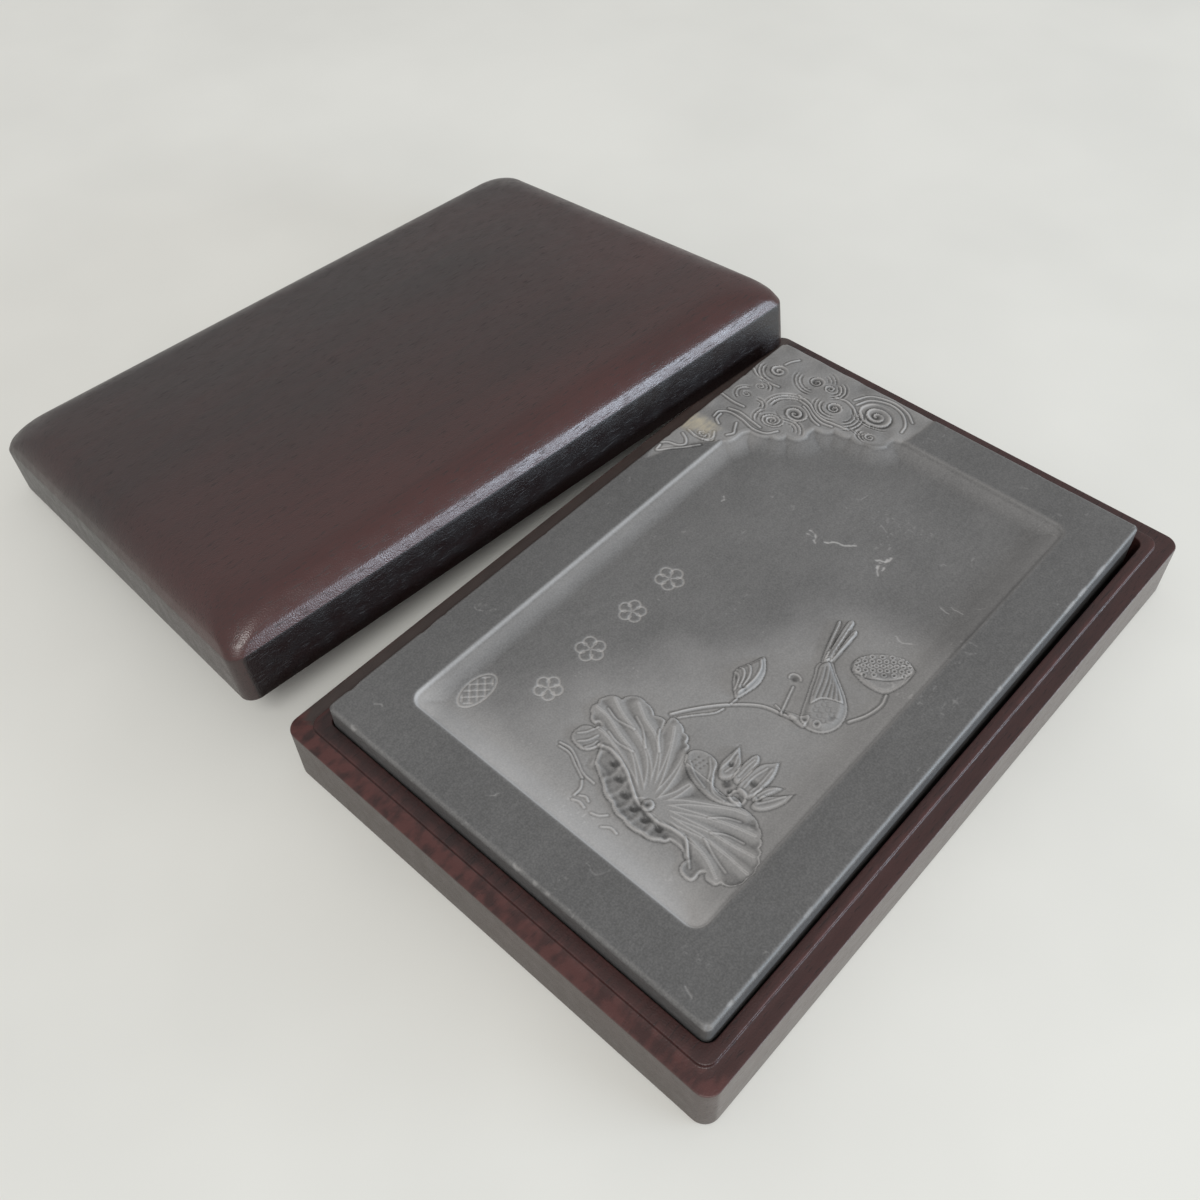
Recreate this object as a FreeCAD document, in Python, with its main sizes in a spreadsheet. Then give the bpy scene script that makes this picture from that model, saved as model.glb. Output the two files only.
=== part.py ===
import FreeCAD, Part
import math
import os

import Sketcher

# An inkstone in its two-part wooden box: the stone lies in a deep tray, and the tray's lid
# stands open beside it, one long side on the table and the other propped on the tray's ledge.
#
# Frame: millimetres, +Z up, origin in the middle of the tray's flat underside.
# +X runs across the box, to the right when the carved picture is read upright, and +Y runs
# along the box, to the top of the picture. The lid lies on the -X side.

# Driving dimensions: name, size in millimetres or degrees, and what it is.
SIZES = [
    ("tray_length", 224.0, "outside of the tray along the box"),
    ("tray_width", 152.0, "outside of the tray across the box"),
    ("tray_height", 19.5, "underside of the tray to its ledge"),
    ("tray_corner", 4.5, "plan radius of the box's outer corners"),
    ("tray_floor", 6.3, "thickness of the wood under the stone"),
    ("ledge_width", 5.0, "flat ledge that carries the lid's wall"),
    ("lip_width", 3.3, "raised tongue inside the ledge, on three sides"),
    ("near_lip_width", 4.5, "the same tongue at the near end"),
    ("lip_height", 1.2, "how far the tongue stands above the ledge"),
    ("lip_corner", 3.6, "plan radius of the tongue's outer corners"),
    ("recess_corner", 3.0, "plan radius of the corners of the stone's seat"),
    ("recess_cove", 1.2, "cove where the seat's walls meet its floor"),
    ("foot_bevel", 0.8, "bevel round the underside of the tray"),
    ("arris", 0.4, "softened wooden edges"),
    ("stone_left_gap", 0.3, "room on the stone's left, where it has slid over"),
    ("stone_right_gap", 0.9, "room on the stone's right"),
    ("stone_near_gap", 0.6, "room at the stone's near end"),
    ("stone_far_gap", 1.4, "room at the stone's far end"),
    ("stone_seat_gap", 0.3, "room under the stone"),
    ("stone_thickness", 20.4, "thickness of the stone"),
    ("stone_corner", 2.0, "plan radius of the stone's corners"),
    ("stone_bevel", 0.7, "bevel round the stone's faces"),
    ("pool_left_margin", 14.9, "border on the pool's left"),
    ("pool_right_margin", 15.8, "border on the pool's right"),
    ("pool_near_margin", 16.2, "border below the pool"),
    ("pool_far_margin", 14.4, "border above the pool"),
    ("pool_depth", 2.4, "depth of the sunk pool"),
    ("pool_slope", 3.6, "run of the pool's sloping sides"),
    ("pool_corner", 4.5, "plan radius of the pool's corners"),
    ("bank_drop", 0.3, "how far the cloud bank lies below the border"),
    ("lid_fit", 0.35, "play between the tongue and the lid's wall"),
    ("lid_wall_height", 15.6, "upright part of the lid's wall"),
    ("lid_roll_height", 10.6, "height of the rolled shoulder"),
    ("lid_roll_width", 14.6, "run of the rolled shoulder"),
    ("lid_crown_rise", 0.9, "rise from the shoulder to the middle of the top"),
    ("lid_crown_run", 34.0, "run of the crowned band inside the shoulder"),
    ("lid_top_corner", 16.0, "plan radius where the shoulder meets the top"),
    ("lid_hollow_depth", 12.0, "depth of the hollow under the lid"),
    ("lid_hollow_cove", 3.0, "cove round the hollow's ceiling"),
    ("lid_prop_gap", 0.3, "room between the propped lid and the ledge's edge"),
    ("lid_lip_gap", 0.3, "room between the propped lid's corner and the tongue"),
    ("lid_end_setback", 2.5, "propped lid's corner short of the tray's far end"),
    ("lid_turn", 4.27, "degrees that the open lid is turned on the table"),
]

# Cloud bank in the pool's far left corner: where its lobes meet, across and along from that
# corner, and how far each lobe swells between two meetings.
BANK_MEETINGS = [(-1.0, -38.0), (7.5, -28.5), (18.0, -21.0), (29.0, -12.0), (41.0, -8.0), (46.5, 1.0)]
BANK_SWELLS = [2.6, 2.4, 2.8, 2.0, 2.6]

# Steps round the lid's rolled shoulder, in degrees from the upright wall
ROLL_STEPS = [15, 30, 45, 60, 75, 87]


def write_sizes(doc):
    """The sheet of driving dimensions, one alias to a row."""
    sheet = doc.addObject("Spreadsheet::Sheet", "sizes")
    for row, (name, value, note) in enumerate(SIZES, start=1):
        sheet.set("A%d" % row, name)
        sheet.set("B%d" % row, str(value))
        sheet.set("C%d" % row, note)
        sheet.setAlias("B%d" % row, name)
    doc.recompute()
    return sheet


def size(sheet, expression):
    """The number that an expression on the sheet gives."""
    value = sheet.evalExpression(expression)
    return float(getattr(value, "Value", value))


def new_body(doc, label):
    """An empty body named after its sub-part."""
    body = doc.addObject("PartDesign::Body", label)
    body.Label = label
    return body


def base_plane(body):
    """The body's own horizontal plane."""
    for feature in body.Origin.OriginFeatures:
        if feature.Role == "XY_Plane":
            return feature
    raise RuntimeError("no horizontal plane in " + body.Label)


def flat_sketch(body, name, level, across="0", along="0"):
    """An empty level sketch, its origin bound to three expressions."""
    sketch = body.newObject("Sketcher::SketchObject", name)
    sketch.AttachmentSupport = [(base_plane(body), "")]
    sketch.MapMode = "FlatFace"
    sketch.setExpression("AttachmentOffset.Base.x", across)
    sketch.setExpression("AttachmentOffset.Base.y", along)
    sketch.setExpression("AttachmentOffset.Base.z", level)
    return sketch


def corner_arc(across, along, radius, start):
    """A quarter circle, from start degrees and turning left."""
    circle = Part.Circle(FreeCAD.Vector(across, along, 0), FreeCAD.Vector(0, 0, 1), radius)
    return Part.ArcOfCircle(circle, math.radians(start), math.radians(start + 90))


def rounded_outline(sheet, body, name, sides, corner, level):
    """A rectangle with round corners; sides holds the expressions right, far, left, near."""
    right, far, left, near = [size(sheet, side) for side in sides]
    radius = size(sheet, corner)
    sketch = flat_sketch(body, name, level)
    straight = [
        ((-left + radius, -near), (right - radius, -near)),
        ((right, -near + radius), (right, far - radius)),
        ((right - radius, far), (-left + radius, far)),
        ((-left, far - radius), (-left, -near + radius)),
    ]
    for start, end in straight:
        sketch.addGeometry(Part.LineSegment(FreeCAD.Vector(*start, 0), FreeCAD.Vector(*end, 0)))
    sketch.addGeometry(corner_arc(right - radius, -near + radius, radius, -90))
    sketch.addGeometry(corner_arc(right - radius, far - radius, radius, 0))
    sketch.addGeometry(corner_arc(-left + radius, far - radius, radius, 90))
    sketch.addGeometry(corner_arc(-left + radius, -near + radius, radius, 180))
    for turn in range(4):
        sketch.addConstraint(Sketcher.Constraint("Tangent", turn, 2, 4 + turn, 1))
        sketch.addConstraint(Sketcher.Constraint("Tangent", 4 + turn, 2, (turn + 1) % 4, 1))
    for line in (0, 2):
        sketch.addConstraint(Sketcher.Constraint("Horizontal", line))
    for line in (1, 3):
        sketch.addConstraint(Sketcher.Constraint("Vertical", line))
    for arc in (5, 6, 7):
        sketch.addConstraint(Sketcher.Constraint("Equal", 4, arc))
    bound = [
        ("right", Sketcher.Constraint("DistanceX", -1, 1, 1, 1, right), sides[0]),
        ("far", Sketcher.Constraint("DistanceY", -1, 1, 2, 1, far), sides[1]),
        ("left", Sketcher.Constraint("DistanceX", 3, 1, -1, 1, left), sides[2]),
        ("near", Sketcher.Constraint("DistanceY", 0, 1, -1, 1, near), sides[3]),
        ("corner", Sketcher.Constraint("Radius", 4, radius), corner),
    ]
    for label, constraint, expression in bound:
        index = sketch.addConstraint(constraint)
        sketch.renameConstraint(index, label)
        sketch.setExpression("Constraints." + label, expression)
    return sketch


def centred(width, length):
    """The four sides of an outline centred on the sketch's origin."""
    half_width = "(%s) / 2" % width
    half_length = "(%s) / 2" % length
    return [half_width, half_length, half_width, half_length]


def drawn_in(sides, right, far, left, near):
    """An outline's four sides, each drawn in by its own expression."""
    return ["%s - (%s)" % pair for pair in zip(sides, (right, far, left, near))]


def tray_sides():
    """The outside of the box: right, far, left and near."""
    return centred("sizes.tray_width", "sizes.tray_length")


def seat_sides():
    """The stone's seat, inside the ledge and the tongue."""
    rim = "sizes.ledge_width + sizes.lip_width"
    return drawn_in(tray_sides(), rim, rim, rim, "sizes.ledge_width + sizes.near_lip_width")


def stone_sides():
    """The stone's sides as it lies in its seat."""
    return drawn_in(seat_sides(), "sizes.stone_right_gap", "sizes.stone_far_gap", "sizes.stone_left_gap",
                    "sizes.stone_near_gap")


def pool_sides():
    """The rim of the stone's pool."""
    return drawn_in(stone_sides(), "sizes.pool_right_margin", "sizes.pool_far_margin",
                    "sizes.pool_left_margin", "sizes.pool_near_margin")


def raise_pad(body, name, sketch, height):
    """Raise an outline into a solid."""
    pad = body.newObject("PartDesign::Pad", name)
    pad.Profile = sketch
    pad.setExpression("Length", height)
    return pad


def sink_pocket(body, name, sketch, depth, upward=False):
    """Cut an outline out of the solid, down or, from below, upward."""
    pocket = body.newObject("PartDesign::Pocket", name)
    pocket.Profile = sketch
    pocket.Reversed = upward
    pocket.setExpression("Length", depth)
    return pocket


def loft_between(body, kind, name, sketches, ruled):
    """A solid or a hollow that passes through several outlines."""
    loft = body.newObject(kind, name)
    loft.Profile = sketches[0]
    loft.Sections = sketches[1:]
    loft.Ruled = ruled
    return loft


def edges_at(feature, level, beyond=0.0):
    """Names of the level edges at one height that reach past a given half width."""
    names = []
    for number, edge in enumerate(feature.Shape.Edges, start=1):
        box = edge.BoundBox
        reach = max(abs(box.XMin), abs(box.XMax))
        if abs(box.ZMin - level) < 0.01 and abs(box.ZMax - level) < 0.01 and reach > beyond:
            names.append("Edge%d" % number)
    return names


def soften(body, kind, name, names, reach_property, reach):
    """A fillet or a chamfer on the newest feature's named edges."""
    base = body.Tip
    soft = body.newObject(kind, name)
    soft.Base = (base, names)
    soft.setExpression(reach_property, reach)
    return soft


def make_tray(doc, sheet):
    """The lower box: a board hollowed for the stone, with a ledge and a raised tongue."""
    body = new_body(doc, "tray")
    outer = rounded_outline(sheet, body, "tray_outline", tray_sides(), "sizes.tray_corner", "0")
    raise_pad(body, "board", outer, "sizes.tray_height")
    lip_sides = drawn_in(tray_sides(), *["sizes.ledge_width"] * 4)
    tongue = rounded_outline(sheet, body, "tongue_outline", lip_sides, "sizes.lip_corner",
                             "sizes.tray_height")
    raise_pad(body, "tongue", tongue, "sizes.lip_height")
    seat = rounded_outline(sheet, body, "seat_outline", seat_sides(), "sizes.recess_corner",
                           "sizes.tray_height + sizes.lip_height")
    sink_pocket(body, "seat", seat, "sizes.tray_height + sizes.lip_height - sizes.tray_floor")
    doc.recompute()
    floor = size(sheet, "sizes.tray_floor")
    ledge = size(sheet, "sizes.tray_height")
    top = size(sheet, "sizes.tray_height + sizes.lip_height")
    wall = size(sheet, "sizes.tray_width / 2 - sizes.ledge_width / 2")
    soften(body, "PartDesign::Fillet", "seat_cove", edges_at(body.Tip, floor), "Radius", "sizes.recess_cove")
    doc.recompute()
    soften(body, "PartDesign::Chamfer", "foot", edges_at(body.Tip, 0), "Size", "sizes.foot_bevel")
    doc.recompute()
    worn = edges_at(body.Tip, top) + edges_at(body.Tip, ledge, beyond=wall)
    soften(body, "PartDesign::Chamfer", "arrises", worn, "Size", "sizes.arris")
    doc.recompute()
    return body


def bank_outline(body, level):
    """The cloud bank's outline: lobes of arcs, closed behind the pool's corner."""
    _, far, left, _ = pool_sides()
    sketch = flat_sketch(body, "bank_outline", level, "-(%s)" % left, far)
    points = [FreeCAD.Vector(across, along, 0) for across, along in BANK_MEETINGS]
    for start, end, swell in zip(points, points[1:], BANK_SWELLS):
        chord = end - start
        outward = FreeCAD.Vector(chord.y, -chord.x, 0).normalize()
        middle = (start + end) * 0.5 + outward * swell
        sketch.addGeometry(Part.Arc(start, middle, end))
    back = FreeCAD.Vector(points[0].x, points[-1].y, 0)
    sketch.addGeometry(Part.LineSegment(points[-1], back))
    sketch.addGeometry(Part.LineSegment(back, points[0]))
    count = len(points) + 1
    for index in range(count):
        sketch.addConstraint(Sketcher.Constraint("Coincident", index, 2, (index + 1) % count, 1))
    return sketch


def make_stone(doc, sheet):
    """The ink stone: a bevelled slab with a shallow pool and a cloud bank in its corner."""
    body = new_body(doc, "stone")
    bottom = "sizes.tray_floor + sizes.stone_seat_gap"
    top = bottom + " + sizes.stone_thickness"
    slab = rounded_outline(sheet, body, "slab_outline", stone_sides(), "sizes.stone_corner", bottom)
    raise_pad(body, "slab", slab, "sizes.stone_thickness")
    doc.recompute()
    rims = edges_at(body.Tip, size(sheet, bottom)) + edges_at(body.Tip, size(sheet, top))
    soften(body, "PartDesign::Chamfer", "bevels", rims, "Size", "sizes.stone_bevel")
    doc.recompute()
    floor_sides = drawn_in(pool_sides(), *["sizes.pool_slope"] * 4)
    rim = rounded_outline(sheet, body, "pool_rim", pool_sides(), "sizes.pool_corner", top)
    floor = rounded_outline(sheet, body, "pool_floor", floor_sides, "sizes.pool_corner",
                            top + " - sizes.pool_depth")
    loft_between(body, "PartDesign::SubtractiveLoft", "pool", [rim, floor], True)
    doc.recompute()
    bank = bank_outline(body, top + " - sizes.pool_depth")
    raise_pad(body, "cloud_bank", bank, "sizes.pool_depth - sizes.bank_drop")
    doc.recompute()
    return body


def shoulder_outlines(sheet, body):
    """Outlines up the lid's rolled shoulder, from its upright wall to its nearly level top."""
    sketches = []
    for step in [0] + ROLL_STEPS:
        inset = "sizes.lid_roll_width * (1 - cos(%d deg))" % step
        rise = "sizes.lid_roll_height * sin(%d deg)" % step
        corner = "sizes.tray_corner + (sizes.lid_top_corner - sizes.tray_corner) * %d / 90" % step
        sides = centred("sizes.tray_width - 2 * (%s)" % inset, "sizes.tray_length - 2 * (%s)" % inset)
        sketches.append(rounded_outline(sheet, body, "shoulder_%d" % step, sides, corner,
                                        "sizes.lid_wall_height + " + rise))
    return sketches


def crown_outline(sheet, body):
    """The flat middle of the lid's gently crowned top."""
    inset = "sizes.lid_roll_width + sizes.lid_crown_run"
    sides = centred("sizes.tray_width - 2 * (%s)" % inset, "sizes.tray_length - 2 * (%s)" % inset)
    level = "sizes.lid_wall_height + sizes.lid_roll_height + sizes.lid_crown_rise"
    return rounded_outline(sheet, body, "crown", sides, "sizes.lid_top_corner", level)


def lid_placement(sheet):
    """Where the open lid lies: turned on the table and tipped up on to the tray's ledge."""
    turn = size(sheet, "sizes.lid_turn")
    width = size(sheet, "sizes.tray_width")
    length = size(sheet, "sizes.tray_length")
    ledge = size(sheet, "sizes.ledge_width")
    overlap = ledge - size(sheet, "sizes.lid_lip_gap")
    height = size(sheet, "sizes.tray_height + sizes.lid_prop_gap")
    tip = math.degrees(math.asin(height / (width - overlap)))
    tipped = FreeCAD.Rotation(FreeCAD.Vector(0, 1, 0), -tip)
    turned = FreeCAD.Rotation(FreeCAD.Vector(0, 0, 1), -turn)
    rotation = turned.multiply(tipped)
    raised_corner = rotation.multVec(FreeCAD.Vector(width / 2, length / 2, 0))
    table_side = rotation.multVec(FreeCAD.Vector(-width / 2, 0, 0))
    place = FreeCAD.Vector(overlap - width / 2 - raised_corner.x,
                           length / 2 - size(sheet, "sizes.lid_end_setback") - raised_corner.y,
                           -table_side.z)
    return FreeCAD.Placement(place, rotation)


def make_lid(doc, sheet):
    """The upper box: one carved board with a soft rolled top and a hollow under it."""
    body = new_body(doc, "lid")
    sketches = shoulder_outlines(sheet, body)
    wall = rounded_outline(sheet, body, "wall_outline", tray_sides(), "sizes.tray_corner", "0")
    raise_pad(body, "wall", wall, "sizes.lid_wall_height")
    doc.recompute()
    loft_between(body, "PartDesign::AdditiveLoft", "shoulder", sketches, False)
    doc.recompute()
    loft_between(body, "PartDesign::AdditiveLoft", "crowned_top", [sketches[-1], crown_outline(sheet, body)], True)
    doc.recompute()
    play = "2 * (sizes.ledge_width - sizes.lid_fit)"
    hollow_sides = centred("sizes.tray_width - " + play, "sizes.tray_length - " + play)
    hollow = rounded_outline(sheet, body, "hollow_outline", hollow_sides,
                             "sizes.lip_corner + sizes.lid_fit", "0")
    sink_pocket(body, "hollow", hollow, "sizes.lid_hollow_depth", upward=True)
    doc.recompute()
    ceiling = size(sheet, "sizes.lid_hollow_depth")
    soften(body, "PartDesign::Fillet", "hollow_cove", edges_at(body.Tip, ceiling),
           "Radius", "sizes.lid_hollow_cove")
    doc.recompute()
    soften(body, "PartDesign::Chamfer", "arrises", edges_at(body.Tip, 0), "Size", "sizes.arris")
    doc.recompute()
    body.Placement = lid_placement(sheet)
    return body


def check(doc, bodies):
    """Stop before anything is written if a feature failed or a solid is unsound."""
    for item in doc.Objects:
        if "Invalid" in item.State or "Error" in item.State:
            raise RuntimeError("%s: %s" % (item.Label, item.State))
    for body in bodies:
        if body.Shape.isNull() or not body.Shape.isValid():
            raise RuntimeError("%s: unsound shape" % body.Label)
        box = body.Shape.optimalBoundingBox()
        print("%-6s volume %.1f cm3, X %.1f..%.1f Y %.1f..%.1f Z %.1f..%.1f" % (
            body.Label, body.Shape.Volume / 1000, box.XMin, box.XMax, box.YMin, box.YMax, box.ZMin, box.ZMax))


def main():
    doc = FreeCAD.newDocument("inkstone_box")
    sheet = write_sizes(doc)
    bodies = [make_tray(doc, sheet), make_stone(doc, sheet), make_lid(doc, sheet)]
    doc.recompute()
    check(doc, bodies)
    os.makedirs("parts", exist_ok=True)
    for body in bodies:
        body.Shape.exportStep("parts/%s.step" % body.Label)


main()
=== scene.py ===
# %% [markdown]
# # An inkstone in its rosewood box
# The object is a slab of grey slate with a sunk grinding pool, a bank of carved clouds and a
# lotus with a small bird. It lies in a shallow wooden tray, and the tray's soft-topped lid lies
# open beside it, one long side on the table and the other propped on the tray's ledge.
# This lesson dresses the three solids of the fixed frame: each gets a finer mesh of the same
# size and place, and a wood or stone finish made of nodes.

# %% Load the fixed frame
import math

import bmesh
import bpy
import numpy as np
from mathutils import Matrix, Vector, noise


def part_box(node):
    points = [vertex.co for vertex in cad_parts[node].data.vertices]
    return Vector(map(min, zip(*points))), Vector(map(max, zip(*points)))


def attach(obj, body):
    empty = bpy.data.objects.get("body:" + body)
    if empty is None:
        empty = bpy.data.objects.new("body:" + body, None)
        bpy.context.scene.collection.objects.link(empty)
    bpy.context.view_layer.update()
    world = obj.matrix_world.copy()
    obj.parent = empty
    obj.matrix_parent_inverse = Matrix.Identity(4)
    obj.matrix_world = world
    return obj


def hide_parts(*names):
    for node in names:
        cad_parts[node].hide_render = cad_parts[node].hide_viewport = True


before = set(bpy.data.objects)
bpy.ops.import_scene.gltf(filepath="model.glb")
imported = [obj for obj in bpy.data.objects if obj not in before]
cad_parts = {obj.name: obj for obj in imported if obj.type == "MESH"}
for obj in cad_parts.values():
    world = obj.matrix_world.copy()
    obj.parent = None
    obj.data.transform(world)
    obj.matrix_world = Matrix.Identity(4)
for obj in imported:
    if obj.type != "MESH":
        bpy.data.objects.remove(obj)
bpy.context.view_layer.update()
MM = 0.001

# %% [markdown]
# ## Sizes
# The frame gives the outside of the tray and of the stone. The small sizes that a cabinet
# maker would set with a gauge, such as the ledge and the tongue, are named here in
# millimetres, and every mesh below is worked out from them.

# %% Sizes from the frame and the maker's gauge
tray_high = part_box("tray")[1] / MM
stone_low, stone_high = [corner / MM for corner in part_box("stone")]
TRAY_HALF_WIDTH, TRAY_HALF_LENGTH = tray_high.x, tray_high.y
TONGUE_TOP = tray_high.z
TONGUE_HEIGHT = 1.2
LEDGE_LEVEL = TONGUE_TOP - TONGUE_HEIGHT
BOX_CORNER = 4.5
LEDGE_WIDTH = 5.0
TONGUE_WIDTH = 3.3
NEAR_TONGUE_EXTRA = 1.2
TONGUE_CORNER = 3.6
SEAT_CORNER = 3.0
SEAT_COVE = 1.2
SEAT_FLOOR = 6.3
FOOT_ROUND = 0.8
ARRIS = 0.4
print("tray half width %.1f, half length %.1f, ledge at %.1f mm"
      % (TRAY_HALF_WIDTH, TRAY_HALF_LENGTH, LEDGE_LEVEL))

# %% [markdown]
# ## Camera
# The camera stands where the photograph was taken from: in front and to the right, about
# fifty degrees up, with the frame turned a little. Its three axes are worked out from those
# angles, because a camera looks along its own minus Z.

# %% Camera at the photograph's angle
VIEW_AZIMUTH = math.radians(44.5)
VIEW_HEIGHT = math.radians(50.48)
VIEW_ROLL = math.radians(-2.5)
VIEW_DISTANCE = 401.4
VIEW_TARGET = Vector((-52.4, -9.2, 0))
PICTURE_PIXELS = 1200
FOCAL_PIXELS = 1269.4


def point_camera():
    """The camera object, placed and turned by the view's angles."""
    back = Vector((math.sin(VIEW_AZIMUTH) * math.cos(VIEW_HEIGHT),
                   -math.cos(VIEW_AZIMUTH) * math.cos(VIEW_HEIGHT), math.sin(VIEW_HEIGHT)))
    right = (-back).cross(Vector((0, 0, 1))).normalized()
    up = right.cross(-back)
    turned_right = math.cos(VIEW_ROLL) * right + math.sin(VIEW_ROLL) * up
    turned_up = -math.sin(VIEW_ROLL) * right + math.cos(VIEW_ROLL) * up
    data = bpy.data.cameras.new("camera")
    data.sensor_width = 36.0
    data.lens = data.sensor_width * FOCAL_PIXELS / PICTURE_PIXELS
    data.clip_start = 0.01
    camera = bpy.data.objects.new("camera", data)
    bpy.context.scene.collection.objects.link(camera)
    turn = Matrix((turned_right, turned_up, back)).transposed()
    camera.matrix_world = Matrix.Translation((VIEW_TARGET + back * VIEW_DISTANCE) * MM) @ turn.to_4x4()
    return camera


bpy.context.scene.camera = point_camera()
print("camera at", [round(value, 3) for value in bpy.context.scene.camera.location])

# %% [markdown]
# ## Light and floor
# A pale table in a bright room. The world gives an even level from all sides. A soft lamp
# high on the camera's own side stands for the ceiling: light from there reaches down into
# the narrow wedge between lid and tray. A wide, low, bluish lamp stands for the window: it
# is on the right and a little behind, hardly above the table, so it skims over the carving
# and draws a long thin highlight on the lid's rolled shoulder. Together they light a level
# surface so that a colour shows about as it is written.

# %% Light
WORLD_COLOUR = (1.0, 0.99, 0.985, 1)
WORLD_LEVEL = 0.51
WINDOW_WAY = Vector((0.86, 0.46, 0.15))
WINDOW_DISTANCE = 1.5
WINDOW_SIZE = (1.0, 0.26)
WINDOW_WATTS = 15.0
WINDOW_COLOUR = (0.73, 0.86, 1.0)
CEILING_WAY = Vector((0.38, -0.43, 0.82))
CEILING_DISTANCE = 4.5
CEILING_SIZE = (1.5, 1.5)
CEILING_WATTS = 98.0
CEILING_COLOUR = (1.0, 0.99, 0.97)


def hang_lamp(name, way, distance, size, watts, colour):
    """A rectangular lamp that faces the middle of the object."""
    data = bpy.data.lights.new(name, "AREA")
    data.shape = "RECTANGLE"
    data.size, data.size_y = size
    data.energy = watts
    data.color = colour
    lamp = bpy.data.objects.new(name, data)
    lamp.location = VIEW_TARGET * MM + way.normalized() * distance
    lamp.rotation_euler = (-way).to_track_quat("-Z", "Y").to_euler()
    bpy.context.scene.collection.objects.link(lamp)
    return lamp


world = bpy.data.worlds.new("room")
world.use_nodes = True
room = world.node_tree.nodes["Background"]
room.inputs["Color"].default_value = WORLD_COLOUR
room.inputs["Strength"].default_value = WORLD_LEVEL
bpy.context.scene.world = world
bpy.context.scene.view_settings.view_transform = "Standard"
hang_lamp("window", WINDOW_WAY, WINDOW_DISTANCE, WINDOW_SIZE, WINDOW_WATTS, WINDOW_COLOUR)
hang_lamp("ceiling", CEILING_WAY, CEILING_DISTANCE, CEILING_SIZE, CEILING_WATTS, CEILING_COLOUR)

# %% [markdown]
# ## Small tools for node finishes
# A finish is a tree of nodes, and the same few moves come back in each: noise, a colour
# ramp, a blend, a bump. Written as short functions, they let each finish below read like a
# recipe. The object is small, so every noise is scaled in blobs per metre.

# %% Helpers for node materials


def new_material(name):
    """A material with one Principled shader, and short ways to add nodes and links."""
    material = bpy.data.materials.new(name)
    material.use_nodes = True
    return material, material.node_tree, material.node_tree.nodes["Principled BSDF"]


def add_node(tree, kind, **settings):
    """One node with its settings; keys that name an input set that input."""
    node = tree.nodes.new(kind)
    for key, value in settings.items():
        if hasattr(node, key):
            setattr(node, key, value)
        else:
            node.inputs[key.replace("_", " ")].default_value = value
    return node


def ramp(tree, source, stops):
    """A colour ramp over a value, from pairs of place and colour."""
    node = tree.nodes.new("ShaderNodeValToRGB")
    elements = node.color_ramp.elements
    elements[0].position, elements[0].color = stops[0][0], (*stops[0][1], 1)
    elements[1].position, elements[1].color = stops[-1][0], (*stops[-1][1], 1)
    for place, colour in stops[1:-1]:
        elements.new(place).color = (*colour, 1)
    tree.links.new(source, node.inputs["Fac"])
    return node.outputs["Color"]


def blend_colours(tree, amount, first, second):
    """First where the amount is 0, second where it is 1."""
    node = tree.nodes.new("ShaderNodeMix")
    node.data_type = "RGBA"
    for key, value in (("Factor", amount), ("A", first), ("B", second)):
        socket = node.inputs[key]
        if isinstance(value, bpy.types.NodeSocket):
            tree.links.new(value, socket)
        else:
            socket.default_value = value if isinstance(value, float) else (*value, 1)
    return node.outputs["Result"]


def between(tree, value, low, high, to_low=0.0, to_high=1.0):
    """Stretch a value's range low..high to another range, clamped."""
    node = add_node(tree, "ShaderNodeMapRange", From_Min=low, From_Max=high, To_Min=to_low, To_Max=to_high)
    tree.links.new(value, node.inputs["Value"])
    return node.outputs["Result"]


def combine(tree, operation, first, second):
    """Arithmetic on two values, each a socket or a number."""
    node = tree.nodes.new("ShaderNodeMath")
    node.operation = operation
    for socket, value in zip(node.inputs, (first, second)):
        if isinstance(value, bpy.types.NodeSocket):
            tree.links.new(value, socket)
        else:
            socket.default_value = value
    return node.outputs["Value"]


def plus(tree, first, second):
    """The sum of two values."""
    return combine(tree, "ADD", first, second)


def times(tree, first, second):
    """The product of two values."""
    return combine(tree, "MULTIPLY", first, second)


def shade(colour, share):
    """A colour made darker or paler by a share."""
    return tuple(value * share for value in colour)


def attribute(tree, name, output="Fac"):
    """A value stored on the mesh's points: a number, or its place with output Vector."""
    return add_node(tree, "ShaderNodeAttribute", attribute_name=name).outputs[output]


def bump(tree, height, reach_mm, strength, below=None):
    """A bump from a height value, laid over an earlier one if given."""
    node = add_node(tree, "ShaderNodeBump", Strength=strength, Distance=reach_mm * MM)
    tree.links.new(height, node.inputs["Height"])
    if below is not None:
        tree.links.new(below, node.inputs["Normal"])
    return node.outputs["Normal"]


def noise_at(tree, coordinates, per_metre, detail=2.0, rough=0.5):
    """Noise over coordinates in metres; per_metre is the count of blobs along each axis."""
    mapping = add_node(tree, "ShaderNodeMapping", Scale=per_metre)
    tree.links.new(coordinates, mapping.inputs["Vector"])
    node = add_node(tree, "ShaderNodeTexNoise", Scale=1.0, Detail=detail, Roughness=rough)
    tree.links.new(mapping.outputs["Vector"], node.inputs["Vector"])
    return node.outputs["Fac"]


# %% [markdown]
# ### Floor
# The table is a wide plain sheet. It isn't part of the object. Its
# colour is nearly white but not quite, which keeps the soft shadow on it visible.

# %% Floor
FLOOR_HALF = 3.0
FLOOR_COLOUR = (0.765, 0.765, 0.725)
FLOOR_CLOUDS = (9, 9, 9)
FLOOR_UNEVEN = 0.03


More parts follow.
